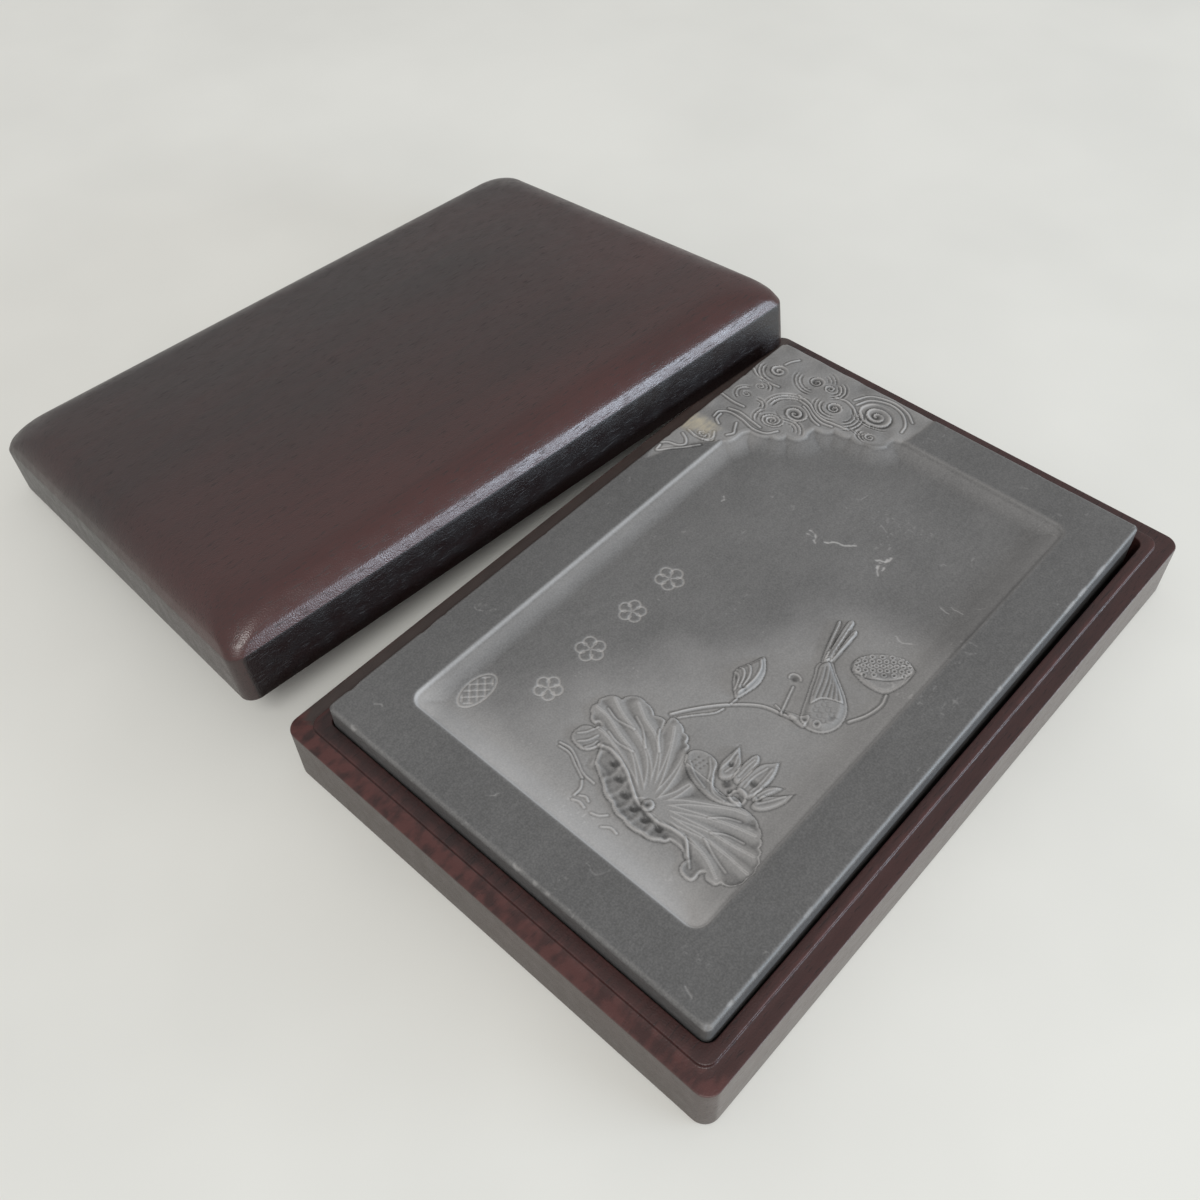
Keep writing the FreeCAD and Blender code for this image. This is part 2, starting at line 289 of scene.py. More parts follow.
def lay_floor():
    """A square sheet at table height, with a faintly uneven pale finish."""
    shape = bmesh.new()
    bmesh.ops.create_grid(shape, x_segments=8, y_segments=8, size=FLOOR_HALF)
    mesh = bpy.data.meshes.new("floor")
    shape.to_mesh(mesh)
    shape.free()
    floor = bpy.data.objects.new("floor", mesh)
    bpy.context.scene.collection.objects.link(floor)
    material, tree, shader = new_material("pale_table")
    shader.inputs["Roughness"].default_value = 0.55
    shader.inputs["Specular IOR Level"].default_value = 0.25
    place = tree.nodes.new("ShaderNodeTexCoord").outputs["Object"]
    cloud = noise_at(tree, place, FLOOR_CLOUDS, detail=3.0)
    stops = [(0.35, shade(FLOOR_COLOUR, 1 - FLOOR_UNEVEN)), (0.65, shade(FLOOR_COLOUR, 1 + FLOOR_UNEVEN))]
    tree.links.new(ramp(tree, cloud, stops), shader.inputs["Base Color"])
    mesh.materials.append(material)
    return floor


print("floor", lay_floor().dimensions[:2])

# %% [markdown]
# ## Turning a section into a box
# Tray and lid are both rounded rectangles whose section changes from the outside to the
# middle. A cabinet maker draws that section once and works it round all four sides. The mesh
# does the same: each point of the section becomes a ring round the box, and neighbouring
# rings are joined by a band of faces. Every ring has the same count of points, so the bands
# are plain quads.

# %% Rings round a rounded rectangle
LONG_STEPS = 46
SHORT_STEPS = 32
CORNER_STEPS = 10


def ring(half_width, half_length, corner, height, near_extra=0.0):
    """Points round a rounded rectangle; its near side is drawn in by near_extra more."""
    corner = max(corner, 0.05)
    across, far = half_width - corner, half_length - corner
    near = near_extra - far
    sides = [
        ((half_width, near), (half_width, far), LONG_STEPS, (across, far), 0),
        ((across, far + corner), (-across, far + corner), SHORT_STEPS, (-across, far), 90),
        ((-half_width, far), (-half_width, near), LONG_STEPS, (-across, near), 180),
        ((-across, near - corner), (across, near - corner), SHORT_STEPS, (across, near), 270),
    ]
    points = []
    for start, end, steps, centre, turn in sides:
        for step in range(steps):
            share = step / steps
            points.append((start[0] + (end[0] - start[0]) * share,
                           start[1] + (end[1] - start[1]) * share, height))
        for step in range(CORNER_STEPS):
            angle = math.radians(turn + 90 * step / CORNER_STEPS)
            points.append((centre[0] + corner * math.cos(angle),
                           centre[1] + corner * math.sin(angle), height))
    return points


def quarter(centre_inset, centre_height, radius, start, end, steps=5):
    """Section points on an arc: inset from the outside and height, angles in degrees."""
    points = []
    for step in range(steps + 1):
        angle = math.radians(start + (end - start) * step / steps)
        points.append((centre_inset - radius * math.cos(angle), centre_height + radius * math.sin(angle)))
    return points


# %% [markdown]
# Three values travel with each point for the finish. The first says how much an edge is rubbed,
# and on the near ledge it also carries painted light. The second marks the outer wall, fully on the long
# sides and half on the short ones, and carries painted light there: on the tray a grey of dust and a
# painted reflection of the floor, on the lid a near black of painted shade. The third, grain, is the
# point's own place in the board, which stays the same when the lid is tipped.

# %% A closed mesh from a section
WALL_REACH = 0.1
SHORT_WALL_PAINTED_LIGHT = 0.5


# Painted light: this share paints the tray's outer wall grey, as dust and a painted reflection of the
# floor, and the lid's outer wall near black, as painted shade.
def wall_painted_light_share(place, inset, half_width):
    """1 on the long outer walls, half that on the short ones, and 0 inside."""
    if inset >= WALL_REACH:
        return 0.0
    return 1.0 if abs(place[0]) > half_width - WALL_REACH else SHORT_WALL_PAINTED_LIGHT


def work_round(name, section, half_width, half_length):
    """A closed mesh from section points: inset, height, corner, wear and extra inset near."""
    shape = bmesh.new()
    worn = shape.verts.layers.float.new("worn")
    wall_dust_and_painted_light = shape.verts.layers.float.new("wall_dust_and_painted_light")
    own = shape.verts.layers.float_vector.new("grain")
    loops = []
    for inset, height, corner, wear, near_extra in section:
        loop = []
        for place in ring(half_width - inset, half_length - inset, corner, height, near_extra):
            vertex = shape.verts.new(Vector(place) * MM)
            vertex[worn] = wear
            vertex[wall_dust_and_painted_light] = wall_painted_light_share(place, inset, half_width)
            vertex[own] = Vector(place) * MM
            loop.append(vertex)
        loops.append(loop)
    for low, high in zip(loops, loops[1:]):
        for index, vertex in enumerate(low):
            after = (index + 1) % len(low)
            shape.faces.new((vertex, low[after], high[after], high[index]))
    shape.faces.new(reversed(loops[0]))
    shape.faces.new(loops[-1])
    bmesh.ops.recalc_face_normals(shape, faces=shape.faces)
    for face in shape.faces:
        face.smooth = True
    mesh = bpy.data.meshes.new(name)
    shape.to_mesh(mesh)
    shape.free()
    piece = bpy.data.objects.new(name, mesh)
    bpy.context.scene.collection.objects.link(piece)
    return piece


# %% [markdown]
# ## Rosewood
# Both wooden halves are a dense dark rosewood, rubbed with oil. From a hand's breadth away
# it looks nearly black and even: fine short pores run with the grain, the colour drifts
# slowly from brown-black to red, and the oiled skin is a little uneven, so a highlight on it
# breaks up into grains. Much of its grey is the bright room mirrored in the oil, which is why
# the colours below are so dark. The finish follows the stored grain places.

# %% Rosewood finish
# Blobs of each noise per metre: across the board, along it and through it
GRAIN_LINES = (1100, 45, 1100)
COLOUR_DRIFT = (16, 7, 16)
OPEN_PORES = (2300, 260, 2300)
SKIN_GRAIN = (2400, 2200, 2400)
OIL_MOTTLE = (260, 160, 260)
WARM_FROM, WARM_TO = 0.005, 0.060


def wood_colour(tree, wall_dust_and_painted_light, mottle, pits, wood):
    """The colour of the board: drifting to red, dark in its pores, rubbed red on its edges and painted as
    lit on the near ledge, with dust and painted light on its outer walls.
    """
    grain = attribute(tree, "grain", "Vector")
    lines = noise_at(tree, grain, GRAIN_LINES, detail=4.0, rough=0.6)
    drift = noise_at(tree, grain, COLOUR_DRIFT, detail=3.0)
    tone = plus(tree, times(tree, lines, 0.35), times(tree, drift, 0.65))
    parts = tree.nodes.new("ShaderNodeSeparateXYZ")
    tree.links.new(grain, parts.inputs["Vector"])
    toward_edge = between(tree, parts.outputs["X"], WARM_FROM, WARM_TO, 0.0, wood["warm share"])
    # The outer walls lose the warm red, as part of their painted shade and painted reflection.
    toward_edge = combine(tree, "SUBTRACT", toward_edge, wall_dust_and_painted_light)
    warmth = times(tree, plus(tree, between(tree, tone, 0.40, 0.62), toward_edge), 0.6)
    body = blend_colours(tree, between(tree, warmth, 0.0, 1.0), wood["dark"], wood["red"])
    pitted = blend_colours(tree, times(tree, pits, 0.6), body, shade(wood["dark"], 0.3))
    # Rubbed edges turn red; on the near ledge the same red is painted light, as if brightly lit.
    rubbed_and_lit = times(tree, attribute(tree, "worn"), between(tree, mottle, 0.40, 0.62, 0.1, 0.8))
    edged = blend_colours(tree, rubbed_and_lit, pitted, shade(wood["red"], 1.5))
    # Outer walls take the wall colour: dust and a painted reflection of the floor on the tray, painted
    # shade on the lid.
    least_wall = wood["wall share"] - 0.12
    wall_dust_and_light = times(tree, wall_dust_and_painted_light, between(tree, mottle, 0.3, 0.7, least_wall, wood["wall share"]))
    return blend_colours(tree, wall_dust_and_light, edged, wood["wall"])


def rosewood(name, wood):
    """Dark oiled wood whose highlight breaks up into fine grains."""
    material, tree, shader = new_material(name)
    grain = attribute(tree, "grain", "Vector")
    pits = between(tree, noise_at(tree, grain, OPEN_PORES, detail=1.0), 0.61, 0.72)
    mottle = noise_at(tree, grain, OIL_MOTTLE, detail=3.0)
    colour = wood_colour(tree, attribute(tree, "wall_dust_and_painted_light"), mottle, pits, wood)
    tree.links.new(colour, shader.inputs["Base Color"])
    oiled = between(tree, mottle, 0.3, 0.7, wood["gloss"] - 0.04, wood["gloss"] + 0.06)
    tree.links.new(plus(tree, oiled, times(tree, pits, 0.2)), shader.inputs["Roughness"])
    shader.inputs["Specular IOR Level"].default_value = wood["shine"]
    skin = bump(tree, mottle, 0.20, 0.15)
    skin = bump(tree, noise_at(tree, grain, SKIN_GRAIN, detail=1.0), 0.09, 0.9, skin)
    hollow = times(tree, pits, -1.0)
    tree.links.new(bump(tree, hollow, 0.03, 0.5, skin), shader.inputs["Normal"])
    return material


# The wall colours are painted light: the tray's grey is dust with a painted reflection of the floor, the
# lid's near black is painted shade.
TRAY_TONES = {"dark": (0.017, 0.0085, 0.008), "red": (0.055, 0.018, 0.016), "warm share": 0.15,
              "wall": (0.148, 0.124, 0.110), "wall share": 0.90, "gloss": 0.42, "shine": 0.55}
LID_TONES = {"dark": (0.0130, 0.0052, 0.0048), "red": (0.047, 0.0105, 0.0090), "warm share": 0.85,
             "wall": (0.0045, 0.0026, 0.0028), "wall share": 0.95, "gloss": 0.34, "shine": 0.80}
TRAY_WOOD = rosewood("tray_rosewood", TRAY_TONES)
LID_WOOD = rosewood("lid_rosewood", LID_TONES)
print("wood finishes", TRAY_WOOD.name, LID_WOOD.name)

# %% [markdown]
# ## Tray
# One board is hollowed for the stone. Outside the hollow a low tongue stands up, and outside
# the tongue runs the flat ledge that carries the closed lid. On the near side the tongue is a
# little wider. All edges are eased by hand with a scraper. The section starts under the middle
# of the tray, goes out to the foot, up the wall, over ledge and tongue, and down into the seat.

# %% Tray section
# Rings on a level face, from the middle outward: how far in, and the corner's radius
MIDDLE_RINGS = ((62, 6), (24, 6))
FOOT_RING = (3, 3.5)
SEAT_RINGS = ((24, 5), (62, 6))
LEDGE_RINGS = ((1.3, 3.9), (3.0, 3.7), (4.7, 3.65))
TONGUE_FOOT = 0.12
LEAST_SEAT_CORNER = 1.5
tongue_inset = LEDGE_WIDTH
seat_inset = LEDGE_WIDTH + TONGUE_WIDTH


def tray_section():
    """The tray's section, from under its middle to the middle of the seat."""
    section = [(inset, 0, corner, 0, 0) for inset, corner in (*MIDDLE_RINGS, FOOT_RING)]
    for inset, height in quarter(FOOT_ROUND, FOOT_ROUND, FOOT_ROUND, -90, 0):
        section.append((inset, height, BOX_CORNER - inset, 0.25, 0))
    wall_rise = LEDGE_LEVEL - FOOT_ROUND
    for share in (0.25, 0.5, 0.75, 0.93):
        section.append((0, FOOT_ROUND + wall_rise * share, BOX_CORNER, 0.0, 0))
    for inset, height in quarter(ARRIS, LEDGE_LEVEL - ARRIS, ARRIS, 0, 90):
        section.append((inset, height, BOX_CORNER - inset, 0.35, 0))
    for inset, corner in LEDGE_RINGS:
        section.append((inset, LEDGE_LEVEL, corner, 0.05, 0))
    section.append((tongue_inset, LEDGE_LEVEL + TONGUE_FOOT, TONGUE_CORNER, 0.0, 0))
    for inset, height in quarter(tongue_inset + ARRIS, TONGUE_TOP - ARRIS, ARRIS, 0, 90):
        section.append((inset, height, TONGUE_CORNER - (inset - tongue_inset), 0.75, 0))
    section.append((tongue_inset + TONGUE_WIDTH / 2, TONGUE_TOP, 3.3, 0.05, NEAR_TONGUE_EXTRA / 2))
    for inset, height in quarter(seat_inset - ARRIS, TONGUE_TOP - ARRIS, ARRIS, 90, 180):
        section.append((inset, height, SEAT_CORNER + seat_inset - inset, 0.3, NEAR_TONGUE_EXTRA))
    for height in (TONGUE_TOP - 4, SEAT_FLOOR + SEAT_COVE + 3):
        section.append((seat_inset, height, SEAT_CORNER, 0, NEAR_TONGUE_EXTRA))
    for inset, height in quarter(seat_inset + SEAT_COVE, SEAT_FLOOR + SEAT_COVE, SEAT_COVE, 0, -90):
        corner = max(SEAT_CORNER - (inset - seat_inset), LEAST_SEAT_CORNER)
        section.append((inset, height, corner, 0, NEAR_TONGUE_EXTRA))
    for inset, corner in SEAT_RINGS:
        section.append((inset, SEAT_FLOOR, corner, 0, 0))
    return section


section_points = tray_section()
print("tray section of", len(section_points), "points")

# %% [markdown]
# The near ledge is painted lighter and redder, as painted light for its brightly lit side, and dust lies on
# the left ledge, which is half hidden under the propped lid. Both are marked on the finished
# mesh: first by height, to find the ledge, and then by side.

# %% Tray
NEAR_LEDGE_PAINTED_LIGHT = 1.5
LEFT_LEDGE_HAZE = 0.28
LEDGE_BAND = (LEDGE_LEVEL - 0.2, LEDGE_LEVEL + 0.05)
tray_piece = work_round("carved_tray", section_points, TRAY_HALF_WIDTH, TRAY_HALF_LENGTH)
marks = tray_piece.data.attributes
for vertex, worn, wall_dust_and_painted_light in zip(tray_piece.data.vertices, marks["worn"].data, marks["wall_dust_and_painted_light"].data):
    place = vertex.co / MM
    if LEDGE_BAND[0] < place.z < LEDGE_BAND[1]:
        if place.y < 1 - TRAY_HALF_LENGTH + tongue_inset:
            # Painted light: the near ledge is painted as its brightly lit side.
            worn.value = NEAR_LEDGE_PAINTED_LIGHT
        elif place.x < 1 - TRAY_HALF_WIDTH + tongue_inset:
            wall_dust_and_painted_light.value = LEFT_LEDGE_HAZE
tray_piece.data.materials.append(TRAY_WOOD)
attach(tray_piece, "tray")
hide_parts("tray")
print("tray faces", len(tray_piece.data.polygons))

# %% [markdown]
# ## Lid
# The lid is a second board of the same outline. Its upright wall ends in a crisp arris, where
# a curve bends away and joins a soft roll, a quarter of an ellipse. The arris is what keeps
# the highlight of the window thin. The top is crowned by less than a millimetre, as a plane
# and sandpaper leave it.

# %% Lid section
LID_WALL = 15.6
WALL_LEAN = 0.03
WALL_END = (0.099, 16.48)
ARRIS_POINT = (0.12, 16.6)
ROLL_BEND = (1.07, 19.63)
BEND_START = 0.03
BEND_STEPS = 6
ROLL_HEIGHT = 10.6
ROLL_WIDTH = 14.6
ROLL_MEETS = 26
ROLL_END = 87
ROLL_STEPS = 11
CROWN_RISE = 0.9
CROWN_RUN = 34.0
CROWN_SHARES = (0.08, 0.2, 0.35, 0.5, 0.65, 0.8, 0.9, 1.0)
TOP_CORNER = 16.0
TOP_RING = (66, 8)
LID_FIT = 0.35
HOLLOW_DEPTH = 12.0
HOLLOW_COVE = 3.0
LEAST_HOLLOW_CORNER = 0.9


def roll_point(degrees):
    """Inset and height of a point on the roll's ellipse."""
    angle = math.radians(degrees)
    return ROLL_WIDTH * (1 - math.cos(angle)), LID_WALL + ROLL_HEIGHT * math.sin(angle)


def roll_corner(degrees):
    """The corner's radius on the roll: it grows from the wall to the top."""
    return BOX_CORNER + (TOP_CORNER - BOX_CORNER) * degrees / 90


def hollow_points():
    """The lid's section from the middle of the hollow's ceiling to its mouth."""
    mouth = LEDGE_WIDTH - LID_FIT
    mouth_corner = TONGUE_CORNER + LID_FIT
    points = [(62, HOLLOW_DEPTH, 6, 0, 0), (24, HOLLOW_DEPTH, 5, 0, 0)]
    for inset, height in quarter(mouth + HOLLOW_COVE, HOLLOW_DEPTH - HOLLOW_COVE, HOLLOW_COVE, 90, 0):
        corner = max(mouth_corner - (inset - mouth), LEAST_HOLLOW_CORNER)
        points.append((inset, height, corner, 0, 0))
    points.append((mouth, 4.0, mouth_corner, 0, 0))
    for inset, height in quarter(mouth - ARRIS, ARRIS, ARRIS, 180, 270):
        points.append((inset, height, mouth_corner + mouth - inset, 0.3, 0))
    return points


def bend_points():
    """The stretch from the arris to the roll, a curve that starts steep and bends in."""
    points = []
    for step in range(BEND_STEPS + 1):
        share = BEND_START + (1 - BEND_START) * step / BEND_STEPS
        weights = (1 - share) ** 2, 2 * share * (1 - share), share ** 2
        knots = ARRIS_POINT, ROLL_BEND, roll_point(ROLL_MEETS)
        inset = sum(weight * knot[0] for weight, knot in zip(weights, knots))
        height = sum(weight * knot[1] for weight, knot in zip(weights, knots))
        points.append((inset, height, roll_corner(share * ROLL_MEETS), 0, 0))
    return points


def lid_section():
    """The lid's section, from the hollow's ceiling down, round the wall and over the top."""
    section = hollow_points()
    for inset, height in quarter(ARRIS, ARRIS, ARRIS, -90, 0):
        section.append((inset, height, BOX_CORNER - inset, 0.3, 0))
    for inset, height in ((0, 4.0), (0, 8.0), (0, 12.0), (WALL_LEAN, LID_WALL), WALL_END):
        section.append((inset, height, BOX_CORNER, 0, 0))
    section += bend_points()
    for step in range(1, ROLL_STEPS + 1):
        turned = ROLL_MEETS + (ROLL_END - ROLL_MEETS) * step / ROLL_STEPS
        section.append((*roll_point(turned), roll_corner(turned), 0, 0))
    edge_inset, edge_height = section[-1][:2]
    top = LID_WALL + ROLL_HEIGHT + CROWN_RISE
    for share in CROWN_SHARES:
        inset = edge_inset + (ROLL_WIDTH + CROWN_RUN - edge_inset) * share
        section.append((inset, edge_height + (top - edge_height) * share, TOP_CORNER, 0, 0))
    section.append((TOP_RING[0], top, TOP_RING[1], 0, 0))
    return section


lid_points = lid_section()
print("lid section of", len(lid_points), "points")

# %% [markdown]
# The lid is made upright in its own place and then tipped: the left long side stays on the
# table and the right one lies on the tray's ledge, against the tongue. The angle isn't
# guessed. It follows from the ledge's height and the width between the two lines it rests on.

# %% Lid in its open place
PROP_GAP = 0.3
TONGUE_GAP = 0.3
END_SETBACK = 2.5
LID_TURN = math.radians(4.27)
PILLOW_DEPTH = 0.16
PILLOW_WAVES = (22, 17)
PILLOW_SLICE = 3.7


def open_place():
    """The matrix that tips the lid up on to the ledge and turns it on the table."""
    width, length = 2 * TRAY_HALF_WIDTH, 2 * TRAY_HALF_LENGTH
    overlap = LEDGE_WIDTH - TONGUE_GAP
    tip = math.asin((LEDGE_LEVEL + PROP_GAP) / (width - overlap))
    turn = Matrix.Rotation(-LID_TURN, 4, "Z") @ Matrix.Rotation(-tip, 4, "Y")
    raised = turn @ Vector((width / 2, length / 2, 0))
    resting = turn @ Vector((-width / 2, 0, 0))
    place = Vector((overlap - width / 2 - raised.x, length / 2 - END_SETBACK - raised.y, -resting.z))
    return Matrix.Translation(place * MM) @ turn


def hand_finish(piece, depth):
    """Sink a mesh's upper faces by a slow, uneven amount, as sanding by hand does."""
    for vertex in piece.data.vertices:
        if vertex.co.z > LID_WALL * MM:
            across, along = vertex.co.x * PILLOW_WAVES[0], vertex.co.y * PILLOW_WAVES[1]
            blob = noise.noise(Vector((across, along, PILLOW_SLICE)))
            vertex.co.z -= depth * MM * (0.5 + 0.5 * blob)


lid_piece = work_round("rolled_lid", lid_points, TRAY_HALF_WIDTH, TRAY_HALF_LENGTH)
hand_finish(lid_piece, PILLOW_DEPTH)
lid_piece.data.transform(open_place())
lid_piece.data.materials.append(LID_WOOD)
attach(lid_piece, "lid")
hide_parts("lid")
lid_places = np.array([vertex.co[:] for vertex in lid_piece.data.vertices]) / MM
print("lid from", lid_places.min(0).round(2), "to", lid_places.max(0).round(2))

# %% [markdown]
# ## The stone as a height map
# The carving is shallow and is seen from above, so the top of the stone can be a height map:
# a fine grid of points, where each point has one height. Carving is then arithmetic on that
# grid. Each motif is an outline or a stroke drawn by a few points, and the distance from
# every grid point to it decides how much stone is left or taken away. Zero is the level of
# the polished border, in millimetres. A second value on the same grid says how pale the stone
# is there: cut stone is powdery and light, polished stone is dark. The same value also carries
# painted light: cuts and hollows are painted darker as shade, and some crests and slopes
# lighter as highlight and sheen.

# %% Grid of the stone's top
STONE_TOP, STONE_BOTTOM = stone_high.z, stone_low.z
STONE_LEFT, STONE_RIGHT = stone_low.x, stone_high.x
STONE_NEAR, STONE_FAR = stone_low.y, stone_high.y
STONE_CORNER = 2.0
STONE_BEVEL = 0.7
GRID_PITCH = 0.27
columns = int(round((STONE_RIGHT - STONE_LEFT) / GRID_PITCH)) + 1
rows = int(round((STONE_FAR - STONE_NEAR) / GRID_PITCH)) + 1
across_line = np.linspace(STONE_LEFT, STONE_RIGHT, columns)
along_line = np.linspace(STONE_NEAR, STONE_FAR, rows)
EAST, NORTH = np.meshgrid(across_line, along_line)
relief = np.zeros_like(EAST)
dust_and_painted_light = np.zeros_like(EAST)
WHOLE = (slice(None), slice(None))
print("grid of", rows, "by", columns, "points")

# %% Distances on the grid
FAR_AWAY = 1e9
TINY = 1e-9


def ease(value):
    """A smooth step from 0 to 1."""
    value = np.clip(value, 0, 1)
    return value * value * (3 - 2 * value)


def window(path, reach):
    """The rows and columns of the grid that lie within reach of a path."""
    low, high = path.min(0) - reach, path.max(0) + reach
    first_row, last_row = np.searchsorted(along_line, [low[1], high[1]])
    first_column, last_column = np.searchsorted(across_line, [low[0], high[0]])
    return slice(first_row, last_row), slice(first_column, last_column)


def distance_to(path, part):
    """Distance from the grid points of a window to a path of straight steps."""
    east, north = EAST[part], NORTH[part]
    nearest = np.full(east.shape, FAR_AWAY)
    for (start_x, start_y), (end_x, end_y) in zip(path, path[1:]):
        run_x, run_y = end_x - start_x, end_y - start_y
        run_squared = max(run_x ** 2 + run_y ** 2, TINY)
        share = np.clip(((east - start_x) * run_x + (north - start_y) * run_y) / run_squared, 0, 1)
        gap = (east - start_x - share * run_x) ** 2 + (north - start_y - share * run_y) ** 2
        nearest = np.minimum(nearest, gap)
    return np.sqrt(nearest)


def inside(path, part):
    """Whether the grid points of a window lie within a closed path."""
    east, north = EAST[part], NORTH[part]
    odd = np.zeros(east.shape, bool)
    for (start_x, start_y), (end_x, end_y) in zip(path, path[1:]):
        if start_y == end_y:
            continue
        crosses = (start_y > north) != (end_y > north)
        odd ^= crosses & (east < (end_x - start_x) * (north - start_y) / (end_y - start_y) + start_x)
    return odd


def depth_within(path):
    """Distance inward from a closed path over the whole grid, negative outside it."""
    return distance_to(path, WHOLE) * np.where(inside(path, WHOLE), 1, -1)


def rounded_distance(left, right, near, far, corner):
    """Distance inward from the sides of a rounded rectangle, negative outside it."""
    across = np.abs(EAST - (left + right) / 2) - (right - left) / 2 + corner
    along = np.abs(NORTH - (near + far) / 2) - (far - near) / 2 + corner
    beyond = np.hypot(np.maximum(across, 0), np.maximum(along, 0))
    return corner - beyond - np.minimum(np.maximum(across, along), 0)


def value_noise(cell, seed):
    """Smooth noise over the grid from a seeded lattice, 0 to 1; cell in millimetres."""
    shape = (int((STONE_FAR - STONE_NEAR) / cell) + 3, int((STONE_RIGHT - STONE_LEFT) / cell) + 3)
    lattice = np.random.default_rng(seed).random(shape)
    row, column = (NORTH - STONE_NEAR) / cell, (EAST - STONE_LEFT) / cell
    low_row, low_column = np.floor(row).astype(int), np.floor(column).astype(int)
    rise, run = ease(row - low_row), ease(column - low_column)
    near = lattice[low_row, low_column] * (1 - run) + lattice[low_row, low_column + 1] * run
    far = lattice[low_row + 1, low_column] * (1 - run) + lattice[low_row + 1, low_column + 1] * run
    return near * (1 - rise) + far * rise


print("noise over the stone, mean %.2f" % value_noise(9, 22).mean())

# %% [markdown]
# Outlines and strokes need only a few points each. A smooth path is drawn through them, a
# scalloped edge swells between them, and round forms are bows: parts of an ellipse.

# %% Paths drawn by a few points


def flowing(points, closed=False, steps=7):
    """A smooth path through a few points."""
    points = [np.array(point, float) for point in points]
    if closed:
        ring_points = [points[-1]] + points + points[:2]
    else:
        ring_points = [2 * points[0] - points[1]] + points + [2 * points[-1] - points[-2]]
    path = []
    for before, start, end, after in zip(ring_points, ring_points[1:], ring_points[2:], ring_points[3:]):
        for step in range(steps):
            t = step / steps
            path.append(0.5 * (2 * start + (end - before) * t
                               + (2 * before - 5 * start + 4 * end - after) * t ** 2
                               + (3 * start - before - 3 * end + after) * t ** 3))
    path.append(ring_points[-2])
    return np.array(path)


def scalloped(meetings, steps=7):
    """A closed path of round lobes: each meeting point and how far its lobe swells."""
    path = []
    for (start_x, start_y, swell), (end_x, end_y, _) in zip(meetings, meetings[1:] + meetings[:1]):
        run = np.array([end_x - start_x, end_y - start_y])
        outward = np.array([run[1], -run[0]]) / max(np.hypot(*run), TINY)
        for step in range(steps):
            t = step / steps
            path.append(np.array([start_x, start_y]) + run * t + outward * swell * 4 * t * (1 - t))
    path.append(path[0])
    return np.array(path)


def bow(centre, radius, start, end, squash=1.0, tilt=0.0, steps=20):
    """Part of an ellipse round a centre, angles in degrees."""
    angle = np.radians(start + (end - start) * np.linspace(0, 1, steps + 1))
    local_x, local_y = radius * np.cos(angle), radius * np.sin(angle) * squash
    turn = math.radians(tilt)
    return np.stack([centre[0] + local_x * math.cos(turn) - local_y * math.sin(turn),
                     centre[1] + local_x * math.sin(turn) + local_y * math.cos(turn)], 1)


# %% [markdown]
# A carver has few tools, and so has this lesson. A point scores a line. Two cuts side by side
# leave a fine cord standing between them. A flat chisel lowers the ground round a shape, and
# a round one scoops a dimple. Each tool changes the heights and the paleness under its path,
# and paints its cuts and hollows darker as shade.

# %% Carving tools for lines


def score(path, width, depth, light=0.0):
    """Cut a narrow groove along a path; light says how pale the cut is left, and below zero it is painted
    shade.
    """
    part = window(path, width)
    share = ease(1 - distance_to(path, part) / width)
    relief[part] -= depth * share
    # A light below zero paints the groove darker as shade.
    dust_and_painted_light[part] += light * share


def near_line(gap, place, reach):
    """1 at a distance from a path and 0 beyond reach of it, on both sides."""
    return ease(1 - np.abs(gap - place) / reach)


def leave_cord(path, width, height, light=0.30):
    """Leave a fine ridge along a path between two cuts, which are painted darker as shade."""
    part = window(path, 3 * width)
    gap = distance_to(path, part)
    ridge, cuts = ease(1 - gap / width), near_line(gap, 1.5 * width, width)
    relief[part] += height * ridge - 0.6 * height * cuts
    # The ridge is left pale and the two cuts are painted darker as shade.
    dust_and_painted_light[part] += 1.5 * light * ridge - 0.55 * light * cuts


print("tools for lines:", score.__name__, leave_cord.__name__)

# %% Carving tools for shapes
CUT_WIDTH = 0.55
MOAT_WIDTH = 4.5
LIP_PLACE, LIP_REACH = 0.35, 0.33
CREST_PALENESS, CUT_PAINTED_SHADE = 0.45, 0.30


def leave_shape(path, level, shoulder, cut=0.16, moat=0.12, dish=0.0, lip=0.10):
    """Leave a shape standing, with a thin lip, a cut outside it painted darker as shade, and lower ground
    round it.
    """
    part = window(path, 5.0)
    gap = distance_to(path, part)
    within = inside(path, part)
    ground = relief[part].copy()
    top = level - dish * ease((gap - 0.5) / (3 * shoulder)) + lip * near_line(gap, LIP_PLACE, LIP_REACH)
    raised = ground + (top - ground) * ease(gap / shoulder)
    lowered = ground - 1.3 * cut * ease(1 - gap / CUT_WIDTH) - moat * ease(1 - gap / MOAT_WIDTH)
    relief[part] = np.where(within, raised, lowered)
    # The lip is left pale; the cut outside it is painted darker as shade.
    crest_dust, cut_shade = CREST_PALENESS * near_line(gap, 0.25, 0.30), CUT_PAINTED_SHADE * ease(1 - gap / 0.42)
    dust_and_painted_light[part] += np.where(within, crest_dust, -cut_shade)


def places_round(part, centre, squash, tilt):
    """Places of a window's grid points round a centre, turned by tilt and stretched to a circle."""
    turn = math.radians(tilt)
    east, north = EAST[part] - centre[0], NORTH[part] - centre[1]
    along = east * math.cos(turn) + north * math.sin(turn)
    across = (north * math.cos(turn) - east * math.sin(turn)) / squash
    return along, across


def dimple(centre, radius, depth, light=-0.15, squash=1.0, tilt=0.0):
    """Scoop a small round or oval hollow; a light below zero paints it darker as shade."""
    part = window(bow(centre, radius, 0, 360, squash, tilt), 0.3)
    share = ease(1.15 - np.hypot(*places_round(part, centre, squash, tilt)) / radius)
    relief[part] -= depth * share
    # A negative light paints the hollow darker as shade.
    dust_and_painted_light[part] += light * share


print("tools for shapes:", leave_shape.__name__, dimple.__name__)

